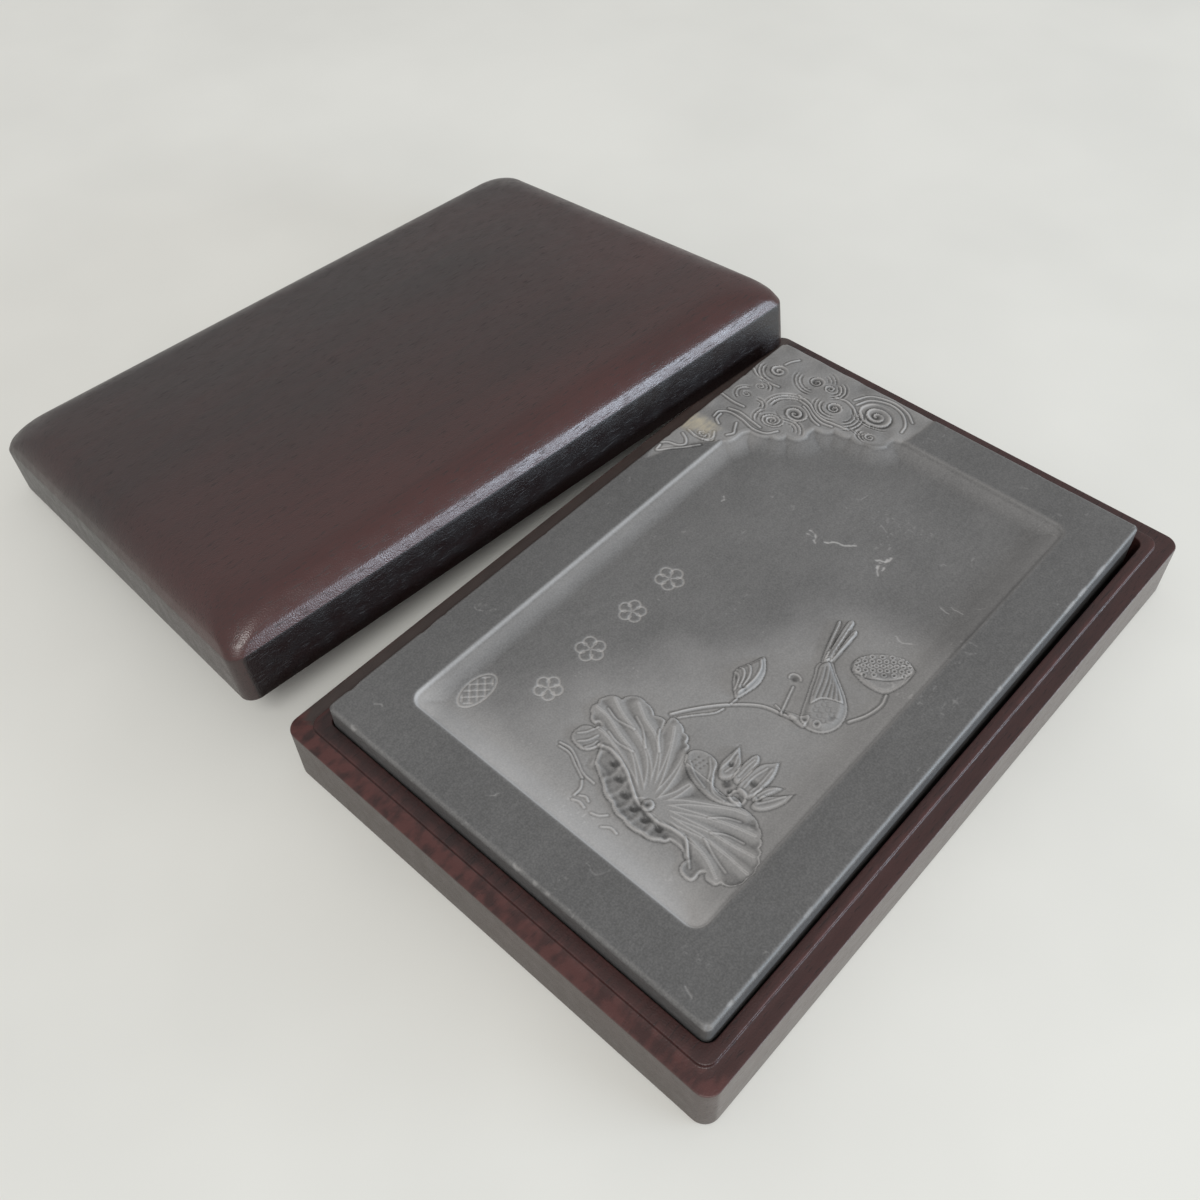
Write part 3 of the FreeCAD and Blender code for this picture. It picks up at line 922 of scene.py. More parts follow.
# %% [markdown]
# ### The pool
# Ink is ground in a sunk pool. From its rim the side drops by a short step and then runs
# down in a long slope, and years of grinding have left slow unevenness. The cloud bank fills
# the far left corner and stays nearly at the level of the border. Its lobes swell between a
# few meeting points, and under them the stone falls away to the pool in the same manner.

# %% Pool and cloud bank
POOL_DEPTH = 2.4
POOL_LEFT, POOL_RIGHT = STONE_LEFT + 14.5, STONE_RIGHT - 16.4
POOL_NEAR, POOL_FAR = STONE_NEAR + 16.2, STONE_FAR - 14.6
POOL_CORNER = 4.5
RIM_STEP, RIM_RUN, SLOPE_RUN = 0.34, 1.3, 8.0
# Where the lobes of the bank meet, and how far each swells; the last four are off the stone
BANK_LOBES = [
    (-54.4, 49.6, 1.6), (-50.6, 55.4, -0.6), (-48.4, 59.8, 0.9), (-42.4, 62.0, 1.2),
    (-38.6, 65.6, 1.4), (-33.6, 68.8, -0.8), (-33.4, 74.2, 1.3), (-28.2, 77.6, 1.0),
    (-22.4, 78.8, 0.9), (-17.6, 79.2, 1.2), (-12.0, 81.8, -0.6), (-11.4, 86.4, 1.0),
    (-7.4, 90.6, 0.0), (-6.0, 112.0, 0.0), (-76.0, 112.0, 0.0), (-76.0, 49.6, 0.0),
]


def fall(gap):
    """Share of the pool's depth at a distance from its rim: a short step, then a long slope."""
    return RIM_STEP * ease(gap / RIM_RUN) + (1 - RIM_STEP) * ease(gap / SLOPE_RUN)


pool_inset = rounded_distance(POOL_LEFT, POOL_RIGHT, POOL_NEAR, POOL_FAR, POOL_CORNER)
bank_gap = depth_within(scalloped(BANK_LOBES))
sunk = np.minimum(fall(pool_inset), fall(-bank_gap))
relief -= POOL_DEPTH * sunk
relief += sunk * 0.10 * (value_noise(17, 1) - 0.5) + sunk * 0.05 * (value_noise(5, 2) - 0.5)
print("pool floor at %.2f mm" % relief.min())

# %% [markdown]
# Ground stone keeps a thin bloom. It is heaviest along the near rim, where part of the paleness is a
# painted sheen of the window on the slope, lies over the whole near right part that the leaf and the flower
# fill, and fades out toward the far left, where the stick rubs most. A few broad steps and some noise are
# enough to say that. The slopes under the left and far rims are painted lighter as a sheen of the
# window, and the rim itself is a thin pale line.

# %% Bloom and painted sheen in the pool
PLAIN_BLOOM, LEAF_BLOOM, NEAR_BLOOM_AND_SHEEN, CLOUDY_BLOOM = 0.09, 0.36, 0.42, 0.10
LEFT_PAINTED_SHEEN, FAR_PAINTED_SHEEN, RIM_PALENESS = 0.26, 0.14, 0.30
cloudy = value_noise(26, 21) * 0.6 + value_noise(9, 22) * 0.4
leaf_side = ease((EAST - 0.55 * NORTH + 8 + 16 * (cloudy - 0.5)) / 30) * ease((34 - NORTH) / 20)
# The near strip is bloom and a painted sheen on the slope that faces the window.
near_side = ease((-70 - NORTH) / 15)
# Painted sheen: the slopes under the left and far rims are painted lighter, as the window's reflection on
# them.
sheen_band = ease((9 - np.minimum(pool_inset, -bank_gap)) / 8) * ease(pool_inset / 0.5)
left_sheen = sheen_band * ease((POOL_LEFT + 12 - EAST) / 6)
far_sheen = sheen_band * np.clip((NORTH - 20) / 60, 0, 1)
bloom_and_sheen = PLAIN_BLOOM + LEAF_BLOOM * leaf_side + NEAR_BLOOM_AND_SHEEN * near_side + CLOUDY_BLOOM * (cloudy - 0.5)
bloom_and_sheen += LEFT_PAINTED_SHEEN * left_sheen + FAR_PAINTED_SHEEN * far_sheen
dust_and_painted_light += bloom_and_sheen * ease(sunk / 0.12)
rim_line = near_line(pool_inset, 0.75, 0.8) * (1 - ease((bank_gap + 3) / 3))
left_rim, near_rim = ease((POOL_LEFT + 3 - EAST) / 2), ease((POOL_NEAR + 3 - NORTH) / 2)
dust_and_painted_light += RIM_PALENESS * rim_line * np.maximum(left_rim, 0.5 * near_rim)
print("bloom from %.2f to %.2f" % (bloom_and_sheen.min(), bloom_and_sheen.max()))

# %% [markdown]
# ### Clouds
# The clouds are an old ornament on such stones: small eyes wound in like springs, each
# wrapped on one side by a few crescents, and flowing strokes that join one cloud to the
# next. The carver first scrapes the whole panel a little below the border.

# %% Cloud panel
CLOUD_GROUND = 0.30
PANEL_OUTLINE = [
    (-74, 110), (-4, 110), (-5.0, 99), (-6.5, 92), (-8, 84), (-20, 76), (-30, 72), (-34, 63),
    (-41, 58), (-48, 53), (-53.5, 47), (-55.5, 45), (-57.5, 42.6), (-61, 38.2), (-67, 31),
]
panel = ease(depth_within(flowing(PANEL_OUTLINE, closed=True)) / 1.4)
panel *= ease(np.maximum((bank_gap + 1.2) / 1.2, (POOL_LEFT - EAST) / 0.5))
relief -= CLOUD_GROUND * panel
relief += 0.45 * panel * (value_noise(5.0, 5) - 0.5)
dust_and_painted_light += panel * (0.36 + 0.26 * (value_noise(4.4, 6) - 0.5))
print("cloud panel covers %.0f percent of the top" % (100 * panel.mean()))

# %% [markdown]
# Eyes and crescents are terraces round a centre. Each terrace rises outward to a crest and
# then drops to the next, like the tiles of a roof, which is how a slanted chisel leaves them.
# Each crest is painted pale as a highlight and the foot of each drop darker as shade.
# Where the terraces are joined into one turn after another, they become the spring of an eye.
# A hand never cuts all of them alike, so a slow noise makes some deeper than others.

# %% Terraces round a centre
COIL_DEPTH = 0.62
COIL_END = 26
uneven_hand = value_noise(3.4, 61)


def coil(centre, inner, pitch, count, start=0, end=360, squash=1.0, tilt=0.0, wind=0):
    """Cut terraces round a centre from start to end; wind 1 or -1 joins them to a spiral."""
    outer = inner + pitch * count
    part = window(np.array(centre) + np.array([[-outer, -outer], [outer, outer]]), 0)
    along, across = places_round(part, centre, squash, tilt)
    gap, angle = np.hypot(along, across), np.degrees(np.arctan2(across, along))
    phase = ((gap - inner) / pitch + wind * angle / 360) % 1
    share = ease((gap - inner + 0.3) / 0.4) * ease((outer - gap) / 0.5) * (0.35 + 1.1 * uneven_hand[part])
    if end - start < 360:
        off = np.abs((angle - (start + end) / 2 + 180) % 360 - 180)
        share *= ease(((end - start) / 2 - off) / COIL_END)
    relief[part] += COIL_DEPTH * share * (phase ** 1.4 - 0.6)
    # Painted highlight on each crest and painted shade at the foot of each drop.
    dust_and_painted_light[part] += share * (0.70 * ease((phase - 0.50) / 0.38) - 0.62 * ease(1 - phase / 0.46))


print("terraces %.2f mm deep" % COIL_DEPTH)

# %% Places of the clouds
# Each eye: centre, radius, pitch, way of winding, squash and tilt
EYES = [
    ((-46.4, 92.6), 3.0, 1.5, 1, 0.95, 0), ((-40.8, 92.5), 2.4, 1.2, -1, 0.95, 0),
    ((-21.6, 91.5), 6.8, 2.6, 1, 0.80, -6), ((-34.4, 85.7), 3.1, 1.5, 1, 0.90, 0),
    ((-42.4, 75.3), 4.6, 2.1, -1, 0.80, -6), ((-46.3, 68.0), 4.4, 1.35, -1, 0.85, 8),
    ((-59.2, 88.6), 3.6, 1.9, 1, 0.86, 0), ((-17.6, 81.7), 2.2, 1.2, 1, 0.80, 5),
    ((-60.4, 72.6), 2.0, 1.1, 1, 0.90, 0), ((-59.4, 78.7), 2.1, 1.2, -1, 0.80, 0),
    ((-58.8, 48.2), 2.8, 1.3, 1, 0.62, 0),
]
# The two deep eyes: centre and radius
DEEP_EYES = [((-46.6, 92.4), 2.5), ((-34.6, 85.5), 2.5)]
# Each cloud's crescents: centre, inner radius, count, start and end angle, squash and tilt
CRESCENTS = [
    ((-46.6, 92.6), 5.4, 3, 172, 292, 0.92, 0), ((-46.6, 92.8), 4.4, 3, 15, 85, 1.0, 0),
    ((-40.8, 92.5), 3.3, 3, -66, 80, 0.95, 0), ((-22.0, 91.4), 7.4, 2, 196, 330, 0.70, -4),
    ((-34.6, 85.7), 4.5, 3, 168, 312, 0.92, 0), ((-30.2, 84.6), 3.4, 4, -66, 70, 1.0, 0),
    ((-43.4, 74.8), 7.6, 3, 82, 200, 0.88, 0), ((-43.0, 74.8), 6.4, 1, 205, 320, 0.70, 0),
    ((-46.4, 68.0), 5.5, 2, 148, 236, 0.90, 0), ((-40.8, 66.8), 3.9, 3, 4, 138, 0.92, 0),
    ((-59.4, 88.4), 4.9, 3, 166, 290, 0.92, 0), ((-60.4, 72.6), 3.2, 2, 100, 262, 0.90, 0),
    ((-59.4, 78.6), 3.3, 2, -6, 140, 0.85, 0), ((-55.4, 70.2), 2.6, 2, -6, 120, 0.90, 0),
    ((-58.8, 48.4), 3.4, 2, 225, 380, 0.60, 0), ((-17.8, 81.7), 3.3, 2, 140, 275, 0.70, 5),
    ((-22.4, 82.6), 2.6, 2, 200, 330, 0.60, 0),
]
CLOUD_STROKES = [
    [(-57.4, 97.6), (-58.9, 95.0), (-59.6, 92.6)],
    [(-29.8, 91.8), (-27.6, 96.2), (-21.6, 98.9), (-15.8, 97.6), (-12.2, 93.8), (-11.3, 90.2)],
    [(-31.6, 93.0), (-28.6, 98.0), (-21.4, 100.4), (-15.0, 99.2), (-11.2, 96.4)],
    [(-37.2, 90.2), (-33.4, 91.0), (-29.6, 89.8), (-26.6, 87.6)],
    [(-47.0, 83.4), (-42.0, 82.4), (-38.2, 80.2), (-34.4, 79.0), (-30.6, 79.4), (-24.8, 80.2)],
    [(-45.0, 81.4), (-41.2, 80.6), (-37.4, 78.4), (-33.6, 77.4), (-29.8, 78.0)],
    [(-42.4, 79.8), (-39.6, 78.6), (-36.6, 76.6), (-33.4, 75.8)],
    [(-67.2, 67.4), (-61.4, 66.7), (-57.2, 67.0)],
    [(-67.0, 84.6), (-63.8, 82.8), (-58.4, 82.0), (-54.6, 82.4)],
    [(-61.8, 57.2), (-62.0, 60.2), (-58.8, 62.2), (-53.8, 61.9), (-48.4, 60.6), (-43.8, 61.6),
     (-41.6, 64.8)],
    [(-60.6, 63.4), (-56.6, 64.2), (-51.8, 63.4), (-47.0, 62.6)],
    [(-60.8, 59.6), (-60.4, 56.8), (-58.2, 55.2)],
    [(-54.2, 59.4), (-52.8, 56.8), (-51.8, 54.8), (-53.0, 52.8)],
    [(-64.2, 44.2), (-61.6, 42.8), (-60.3, 40.8), (-61.6, 39.0), (-65.0, 37.9), (-66.6, 36.4)],
    [(-66.2, 35.4), (-65.4, 32.8), (-62.8, 35.8), (-59.6, 39.4), (-56.4, 43.6)],
    [(-64.0, 46.8), (-60.4, 46.0), (-57.0, 46.6), (-55.6, 49.0), (-57.0, 51.4)],
]
print("cloud eyes", len(EYES), "crescents", sum(cloud[2] for cloud in CRESCENTS))

# %% Carve the clouds
CLOUD_LINE = 0.42
TAIL_LINE = [(-65.0, 34.6), (-62.0, 37.4), (-58.6, 40.8)]
for centre, radius, pitch, wind, squash, tilt in EYES:
    coil(centre, 0, pitch, radius / pitch, squash=squash, tilt=tilt, wind=wind)
    # The eye's centre is painted darker as shade.
    dimple(centre, 0.34 * radius, 0.32, light=-0.34, squash=squash, tilt=tilt)
for centre, radius in DEEP_EYES:
    # The deep eyes are painted darker as shade.
    dimple(centre, radius, 0.45, light=-0.42)
for centre, radius, count, start, end, squash, tilt in CRESCENTS:
    coil(centre, radius - 0.65, 1.3, count, start, end, squash, tilt)
for points in CLOUD_STROKES:
    leave_cord(flowing(points), CLOUD_LINE, 0.30, 0.40)
score(np.array(TAIL_LINE), 1.8, 0.05, light=0.24)
bank_edge = near_line(bank_gap, 0.5, 0.7) * ease(pool_inset / 2)
relief += 0.05 * bank_edge
dust_and_painted_light += 0.12 * bank_edge * (value_noise(5, 7) + 0.3)
relief = np.minimum(relief, -0.02 * ease(np.maximum(panel, sunk) / 0.05))
print("clouds cut down to %.2f mm" % relief[panel > 0.99].min())

# %% [markdown]
# ### Lotus leaf
# A big leaf fills the near right of the pool. Its rim is scalloped, and ribs fan out from
# the round eye where the stem joins. Each main rib is a pair of fine ridges that close up
# toward the rim, and between the ribs the blade is scooped a little and painted darker as
# shade. The rim stands up as a thin line, because the ground outside it is cut away.

# %% Leaf's outline and ribs
LEAF_LEVEL = -1.80
LEAF_EYE = np.array([17.4, -66.0])
LEAF_LOBES = [
    (5.2, -46.4, 0.1), (3.6, -42.9, 0.3), (0.2, -43.7, 0.5), (-4.3, -42.0, 0.6), (-8.4, -42.8, 0.4),
    (-9.9, -45.6, 1.0), (-14.0, -48.4, 0.5), (-14.0, -50.8, 1.0), (-13.0, -54.6, 0.7), (-9.9, -56.4, -0.7),
    (-8.2, -55.8, 0.5), (-9.0, -57.4, 1.2), (-12.6, -61.0, 1.2), (-9.4, -64.6, 1.0), (-4.8, -62.6, 0.2),
    (-4.4, -60.2, 0.0), (-1.6, -65.6, 0.0), (4.6, -69.2, 0.7), (9.6, -71.4, 0.7), (15.2, -73.2, 0.6),
    (21.4, -73.2, 0.6), (26.2, -71.6, 0.4), (28.0, -69.8, -0.4), (32.6, -70.0, 0.2), (34.5, -71.2, 1.4),
    (37.2, -75.2, 1.1), (39.6, -72.8, -0.5), (40.4, -70.8, 0.7), (43.2, -72.0, 0.6), (45.0, -70.6, 0.6),
    (48.6, -68.8, 0.4), (49.4, -65.6, 0.6), (49.2, -61.8, 0.5), (47.8, -59.0, 0.5), (46.2, -56.8, 0.5),
    (44.6, -54.2, 0.4), (42.4, -51.9, 0.4), (38.6, -50.3, 0.3), (34.6, -50.6, 0.0), (16.4, -49.8, 0.4),
    (14.0, -46.6, 0.7), (12.4, -44.7, 0.9), (9.8, -42.7, 0.5), (6.6, -41.0, 0.6), (3.9, -41.4, 0.2),
]
RIBS = [
    [(14.3, -64.8), (9.0, -60.4), (3.6, -56.6), (-3.0, -54.6), (-8.6, -52.6), (-13.0, -52.2)],
    [(15.2, -64.4), (10.4, -57.4), (5.4, -53.4), (-0.6, -51.0), (-6.6, -49.2), (-11.4, -46.8)],
    [(13.6, -65.4), (7.6, -62.0), (1.6, -59.4), (-4.0, -57.4), (-8.6, -57.0)],
    [(15.8, -64.2), (12.6, -57.6), (9.0, -52.0), (4.8, -48.6), (-0.6, -46.6), (-5.4, -43.8)],
    [(16.4, -63.9), (14.2, -57.2), (11.6, -51.2), (9.4, -47.0), (7.0, -43.4)],
    [(17.2, -63.6), (17.0, -58.4), (16.2, -53.2), (14.8, -48.4)],
    [(18.4, -63.6), (20.6, -59.0), (21.6, -54.6)],
    [(19.0, -63.9), (24.0, -59.2), (29.4, -55.6), (34.4, -52.6), (38.0, -51.4)],
    [(19.4, -64.4), (25.4, -61.4), (31.4, -58.6), (37.4, -56.4), (43.4, -54.8)],
    [(19.8, -65.0), (26.4, -63.4), (33.4, -61.6), (40.4, -60.8), (46.8, -59.6)],
    [(20.0, -65.6), (27.4, -65.0), (34.4, -63.8), (41.4, -63.8), (48.4, -64.4)],
    [(19.8, -66.2), (27.4, -66.6), (33.4, -66.8), (38.6, -68.0), (43.4, -70.4)],
]
TWIGS = [[(34.4, -61.6), (38.0, -59.2), (42.4, -58.2)], [(34.4, -63.9), (38.8, -65.8), (44.0, -67.4)],
         [(30.4, -66.6), (33.8, -69.6), (36.6, -72.4)], [(31.4, -58.6), (34.6, -55.6), (38.0, -54.0)],
         [(3.6, -56.6), (-1.6, -57.0), (-5.4, -56.0)], [(5.4, -53.4), (1.4, -49.6), (-3.0, -47.4)],
         [(-0.6, -51.0), (-6.4, -51.6), (-10.6, -50.4)], [(9.0, -52.0), (6.6, -49.6), (4.4, -46.4)]]
LOBE_FOLDS = [[(-11.2, -61.8), (-9.6, -59.8), (-8.4, -57.0)], [(-9.4, -63.6), (-7.6, -61.6), (-6.6, -58.8)],
              [(-6.8, -63.6), (-5.8, -61.8), (-5.6, -60.2)]]
CURLED_LOBE = (-9.2, -60.4)
print("leaf lobes", len(LEAF_LOBES), "ribs", len(RIBS), "twigs", len(TWIGS))

# %% Carve the leaf
RIB_LINE, SCOOP_DEPTH = 0.34, 0.50
leaf_path = scalloped(LEAF_LOBES)
leave_shape(leaf_path, LEAF_LEVEL, 0.7, cut=0.16, moat=0.14)
leaf_part = window(leaf_path, 0)
leaf_gap = distance_to(leaf_path, leaf_part)
leaf_within = inside(leaf_path, leaf_part) * ease(leaf_gap / 1.4)
east_of_eye, north_of_eye = EAST[leaf_part] - LEAF_EYE[0], NORTH[leaf_part] - LEAF_EYE[1]
from_eye = np.hypot(east_of_eye, north_of_eye)
rib_gap = np.full(leaf_within.shape, FAR_AWAY)
for points in RIBS:
    rib_gap = np.minimum(rib_gap, distance_to(flowing(points), leaf_part))
scoop = ease((rib_gap - 0.7) / 2.2) * leaf_within
from_curl = np.hypot(EAST[leaf_part] - CURLED_LOBE[0], NORTH[leaf_part] - CURLED_LOBE[1])
scoop *= 1 - 0.8 * ease((4.6 - from_curl) / 2)
half_pair = 0.25 + 0.6 * ease((20 - from_eye) / 18)
pair_line = near_line(rib_gap, half_pair, RIB_LINE) * leaf_within * ease((from_eye - 1.6) / 1.5)
relief[leaf_part] += 0.15 * pair_line - SCOOP_DEPTH * scoop
# Painted shade: the scoops between the ribs are painted darker, unevenly.
worn_scoop = scoop * (0.3 + 1.2 * value_noise(5, 51)[leaf_part])
dust_and_painted_light[leaf_part] += 0.05 * leaf_within + 0.34 * pair_line - 0.30 * worn_scoop
for points in TWIGS + LOBE_FOLDS:
    leave_cord(flowing(points), 0.36, 0.16, 0.22)
print("deepest scoop %.2f mm" % relief[leaf_part][leaf_within > 0].min())

# %% [markdown]
# The near edge of the leaf rolls over. The roll shows as a pale cord along its top, a
# scalloped hem below, and a row of deep hollows under it where the blade curls away, painted
# darker as shade.

# %% Leaf's rolled edge
ROLL_CORD = [(-4.4, -60.6), (-1.6, -59.8), (2.6, -60.6), (6.8, -62.2), (10.6, -64.7), (14.0, -66.7),
             (18.2, -67.6), (22.6, -68.0), (27.0, -67.0), (31.0, -67.2), (34.2, -70.2)]
ROLL_HEM = [(-1.8, -65.4), (2.6, -66.2), (4.6, -68.8), (8.6, -70.6), (12.6, -72.2), (17.0, -72.8),
            (22.4, -72.4), (26.0, -71.0)]
# Each hollow: across, along, radius and tilt
ROLL_HOLLOWS = [(2.4, -62.2, 1.8, 15), (6.6, -64.8, 1.9, 25), (10.9, -67.4, 1.9, 20),
                (15.2, -69.0, 1.6, 30), (19.6, -69.5, 1.6, 50), (23.9, -69.3, 1.5, 15)]
ROLL_FOLDS = [[(4.4, -61.6), (4.6, -64.8), (3.6, -67.4)], [(8.6, -63.8), (9.0, -67.2), (8.0, -70.0)],
              [(13.0, -66.4), (13.3, -69.2), (12.4, -71.6)], [(17.3, -67.8), (17.6, -70.2), (17.2, -72.2)],
              [(21.8, -68.2), (22.0, -70.4), (22.2, -72.0)], [(-2.2, -60.8), (-2.6, -63.6), (-1.9, -66.4)]]
leave_cord(flowing(ROLL_CORD), 0.55, 0.28, 0.30)
for across, along, radius, tilt in ROLL_HOLLOWS:
    # Painted shade in each hollow.
    dimple((across, along), radius, 0.60, light=-0.36, squash=0.78, tilt=tilt)
for points in ROLL_FOLDS + [ROLL_HEM]:
    leave_cord(flowing(points), 0.8, 0.12, 0.09)
leave_shape(bow(LEAF_EYE, 1.75, 0, 360), LEAF_LEVEL + 0.35, 0.6, cut=0.2, moat=0.0)
dimple(LEAF_EYE, 0.8, 0.3, light=-0.1)
print("hollows under the roll", len(ROLL_HOLLOWS))

# %% [markdown]
# ### Flower, bud and pod
# The open flower rises behind the leaf: pointed petals at the back and a wide bowl petal in
# front, with the small seed head between. Further up are a closed bud on the long stem and a
# seed pod whose face is full of small ringed pits. Petals are left standing one after
# another, each over the last, as a carver works from back to front.

# %% Flower
PETAL_LEVEL = -1.62
PETAL_STEP = 0.05
# A point written twice makes a sharp tip
PETALS = [
    [(37.0, -48.4), (37.4, -45.0), (40.2, -42.0), (43.3, -38.6), (43.3, -38.6), (43.0, -42.4),
     (41.2, -46.4), (38.9, -48.6)],
    [(35.8, -46.6), (35.9, -43.2), (37.7, -40.4), (40.2, -38.9), (40.2, -38.9), (39.0, -42.4),
     (37.4, -46.4)],
    [(25.4, -47.2), (23.4, -44.0), (23.3, -40.2), (23.6, -36.2), (23.6, -36.2), (25.4, -38.0),
     (27.9, -40.8), (28.6, -44.2), (27.6, -46.6)],
    [(28.4, -45.0), (27.8, -40.4), (28.2, -36.4), (29.4, -35.3), (30.8, -37.2), (31.2, -41.6),
     (30.6, -45.6)],
    [(31.2, -47.0), (30.8, -41.8), (31.4, -37.4), (33.4, -34.9), (34.7, -33.3), (34.7, -33.3),
     (36.2, -37.4), (36.5, -42.2), (35.4, -47.2)],
    [(15.6, -49.2), (14.8, -46.4), (16.6, -44.3), (20.0, -43.5), (22.9, -44.4), (24.4, -47.4),
     (26.8, -50.6), (30.2, -51.0), (32.8, -48.8), (35.8, -50.2), (35.8, -50.2), (33.2, -52.3),
     (29.2, -53.8), (24.2, -53.5), (19.6, -52.2)],
]
PETAL_LINES = [
    [(24.4, -45.6), (24.6, -41.8), (24.2, -38.0)], [(26.0, -45.2), (26.4, -42.2), (25.4, -39.4)],
    [(29.4, -44.0), (29.3, -40.4), (29.5, -37.4)], [(32.6, -45.8), (32.6, -41.4), (33.6, -37.2)],
    [(34.6, -45.8), (35.0, -41.6), (34.7, -36.6)], [(38.0, -47.4), (40.0, -44.4), (42.2, -40.8)],
    [(36.6, -45.2), (37.6, -42.4), (39.0, -40.4)], [(24.6, -49.0), (27.4, -52.2), (31.4, -52.4)],
    [(17.0, -48.8), (20.6, -51.2), (25.0, -52.6)], [(20.4, -44.8), (22.6, -47.2), (24.4, -50.4)],
]
# Each hollow between petals: across, along and radius
PETAL_HOLLOWS = [(28.2, -47.3, 1.7), (25.7, -42.4, 1.1), (33.7, -43.2, 1.4), (33.1, -49.0, 1.2),
                 (30.2, -48.6, 1.0), (37.6, -45.8, 0.9)]
SEED_HEAD = (32.9, -48.9)
for order, points in enumerate(PETALS):
    level = PETAL_LEVEL + PETAL_STEP * order
    leave_shape(flowing(points, closed=True), level, 0.55, cut=0.12, moat=0.0, dish=0.16)
for points in PETAL_LINES:
    leave_cord(flowing(points), 0.32, 0.13, 0.20)
for across, along, radius in PETAL_HOLLOWS:
    # Hollows between the petals are painted darker as shade.
    dimple((across, along), radius, 0.6, light=-0.40)
leave_cord(bow(SEED_HEAD, 2.1, 0, 360), 0.45, 0.2)
for across in (17.8, 19.3, 20.8):
    for along in (-46.4, -47.6, -48.8):
        dimple((across + 0.2 * along + 9.4, along), 0.45, 0.2, light=-0.2)
print("petals", len(PETALS))

# %% Stems
# Each stem: its points and the width of its cord
STEMS = [
    ([(3.2, -40.4), (5.8, -36.4), (9.4, -31.6), (14.2, -26.4), (19.8, -22.2), (25.2, -20.6),
      (29.4, -19.6)], 0.46),
    ([(5.4, -40.0), (8.2, -36.6), (11.8, -32.4), (12.8, -29.6)], 0.30),
    ([(43.1, 3.0), (44.0, -1.0), (42.9, -6.2), (40.5, -10.8)], 0.46),
    ([(13.4, -24.6), (13.2, -27.0)], 0.36),
    ([(22.5, -11.4), (23.8, -15.8), (25.2, -20.4)], 0.36),
    ([(22.6, -19.4), (24.6, -19.8), (25.6, -20.8)], 0.32),
]
for points, width in STEMS:
    leave_cord(flowing(points), width, 0.36, 0.30)
print("stems", len(STEMS))

# %% Bud
BUD = [(10.3, -8.5), (12.2, -10.2), (14.0, -13.0), (14.9, -16.6), (14.6, -19.6), (13.4, -24.4),
       (11.8, -23.8), (9.4, -21.4), (7.4, -18.2), (7.2, -16.2), (8.4, -13.4), (9.2, -11.2)]
BUD_FOLDS = [
    [(10.0, -9.8), (12.2, -12.4), (13.2, -16.2), (13.2, -19.8), (12.7, -23.2)],
    [(8.5, -13.6), (10.3, -14.8), (11.7, -17.2), (12.3, -20.4)],
    [(7.7, -15.8), (9.5, -16.6), (10.9, -18.8), (11.7, -21.6)],
    [(7.4, -18.0), (8.9, -18.6), (10.2, -20.2), (11.1, -22.6)],
]
leave_shape(flowing(BUD, closed=True), -1.50, 1.5, cut=0.18, moat=0.20)
for points in BUD_FOLDS:
    leave_cord(flowing(points), 0.36, 0.24)
dimple((13.0, -21.0), 0.9, 0.35, light=-0.3)
dimple((9.0, -19.2), 1.5, 0.35, light=-0.2, squash=0.5, tilt=-50)
print("bud folds", len(BUD_FOLDS))

# %% Seed pod
POD_CENTRE = (37.2, 9.9)
POD_TILT = math.radians(38)
POD_LONG, POD_SHORT = 8.5, 4.7
POD_CUP = [(30.9, 4.8), (34.6, 2.6), (38.6, 2.2), (42.4, 3.2), (44.3, 7.2), (44.9, 12.0),
           (43.6, 15.4), (37.5, 10.5)]
# Rows of pits over the pod's face: place of the row in shares of its short half, and count
PIT_ROWS = ((-0.66, 5), (-0.33, 8), (0.0, 9), (0.33, 8), (0.66, 5))
PIT_SPREAD = 0.86
PIT_RADIUS = 0.42


def pod_place(along, across):
    """A place on the pod's tilted face, in shares of its long and short half."""
    x, y = along * POD_LONG, across * POD_SHORT
    return (POD_CENTRE[0] + x * math.cos(POD_TILT) - y * math.sin(POD_TILT),
            POD_CENTRE[1] + x * math.sin(POD_TILT) + y * math.cos(POD_TILT))


leave_shape(flowing(POD_CUP, closed=True), -1.60, 0.9, cut=0.16, moat=0.15)
dimple((39.8, 7.4), 2.6, 0.55, light=-0.28, squash=0.6, tilt=30)
dimple((35.6, 4.3), 2.2, 0.45, light=-0.25, squash=0.5, tilt=10)
rim_angles = np.linspace(0, 2 * math.pi, 33)
pod_rim = np.array([pod_place(math.cos(angle), math.sin(angle)) for angle in rim_angles])
leave_shape(pod_rim, -1.35, 0.7, cut=0.14, moat=0.05)
for row, count in PIT_ROWS:
    for index in range(count):
        spread = math.sqrt(1 - row ** 2) * PIT_SPREAD
        pit = pod_place(spread * (2 * index / (count - 1) - 1), row)
        leave_cord(bow(pit, PIT_RADIUS + 0.2, 0, 360, steps=10), 0.28, 0.14, 0.22)
        # Each pit is painted darker as shade.
        dimple(pit, PIT_RADIUS, 0.35, light=-0.35)
print("pits in the pod", sum(count for _, count in PIT_ROWS))

# %% [markdown]
# ### Bird
# A small bird perches head down on the stem, with its long tail up. Body, wing and the three
# tail feathers are separate shapes laid over one another. The feathers are fine cuts: long
# ones down the wing and short curved ones, row by row, on the breast.

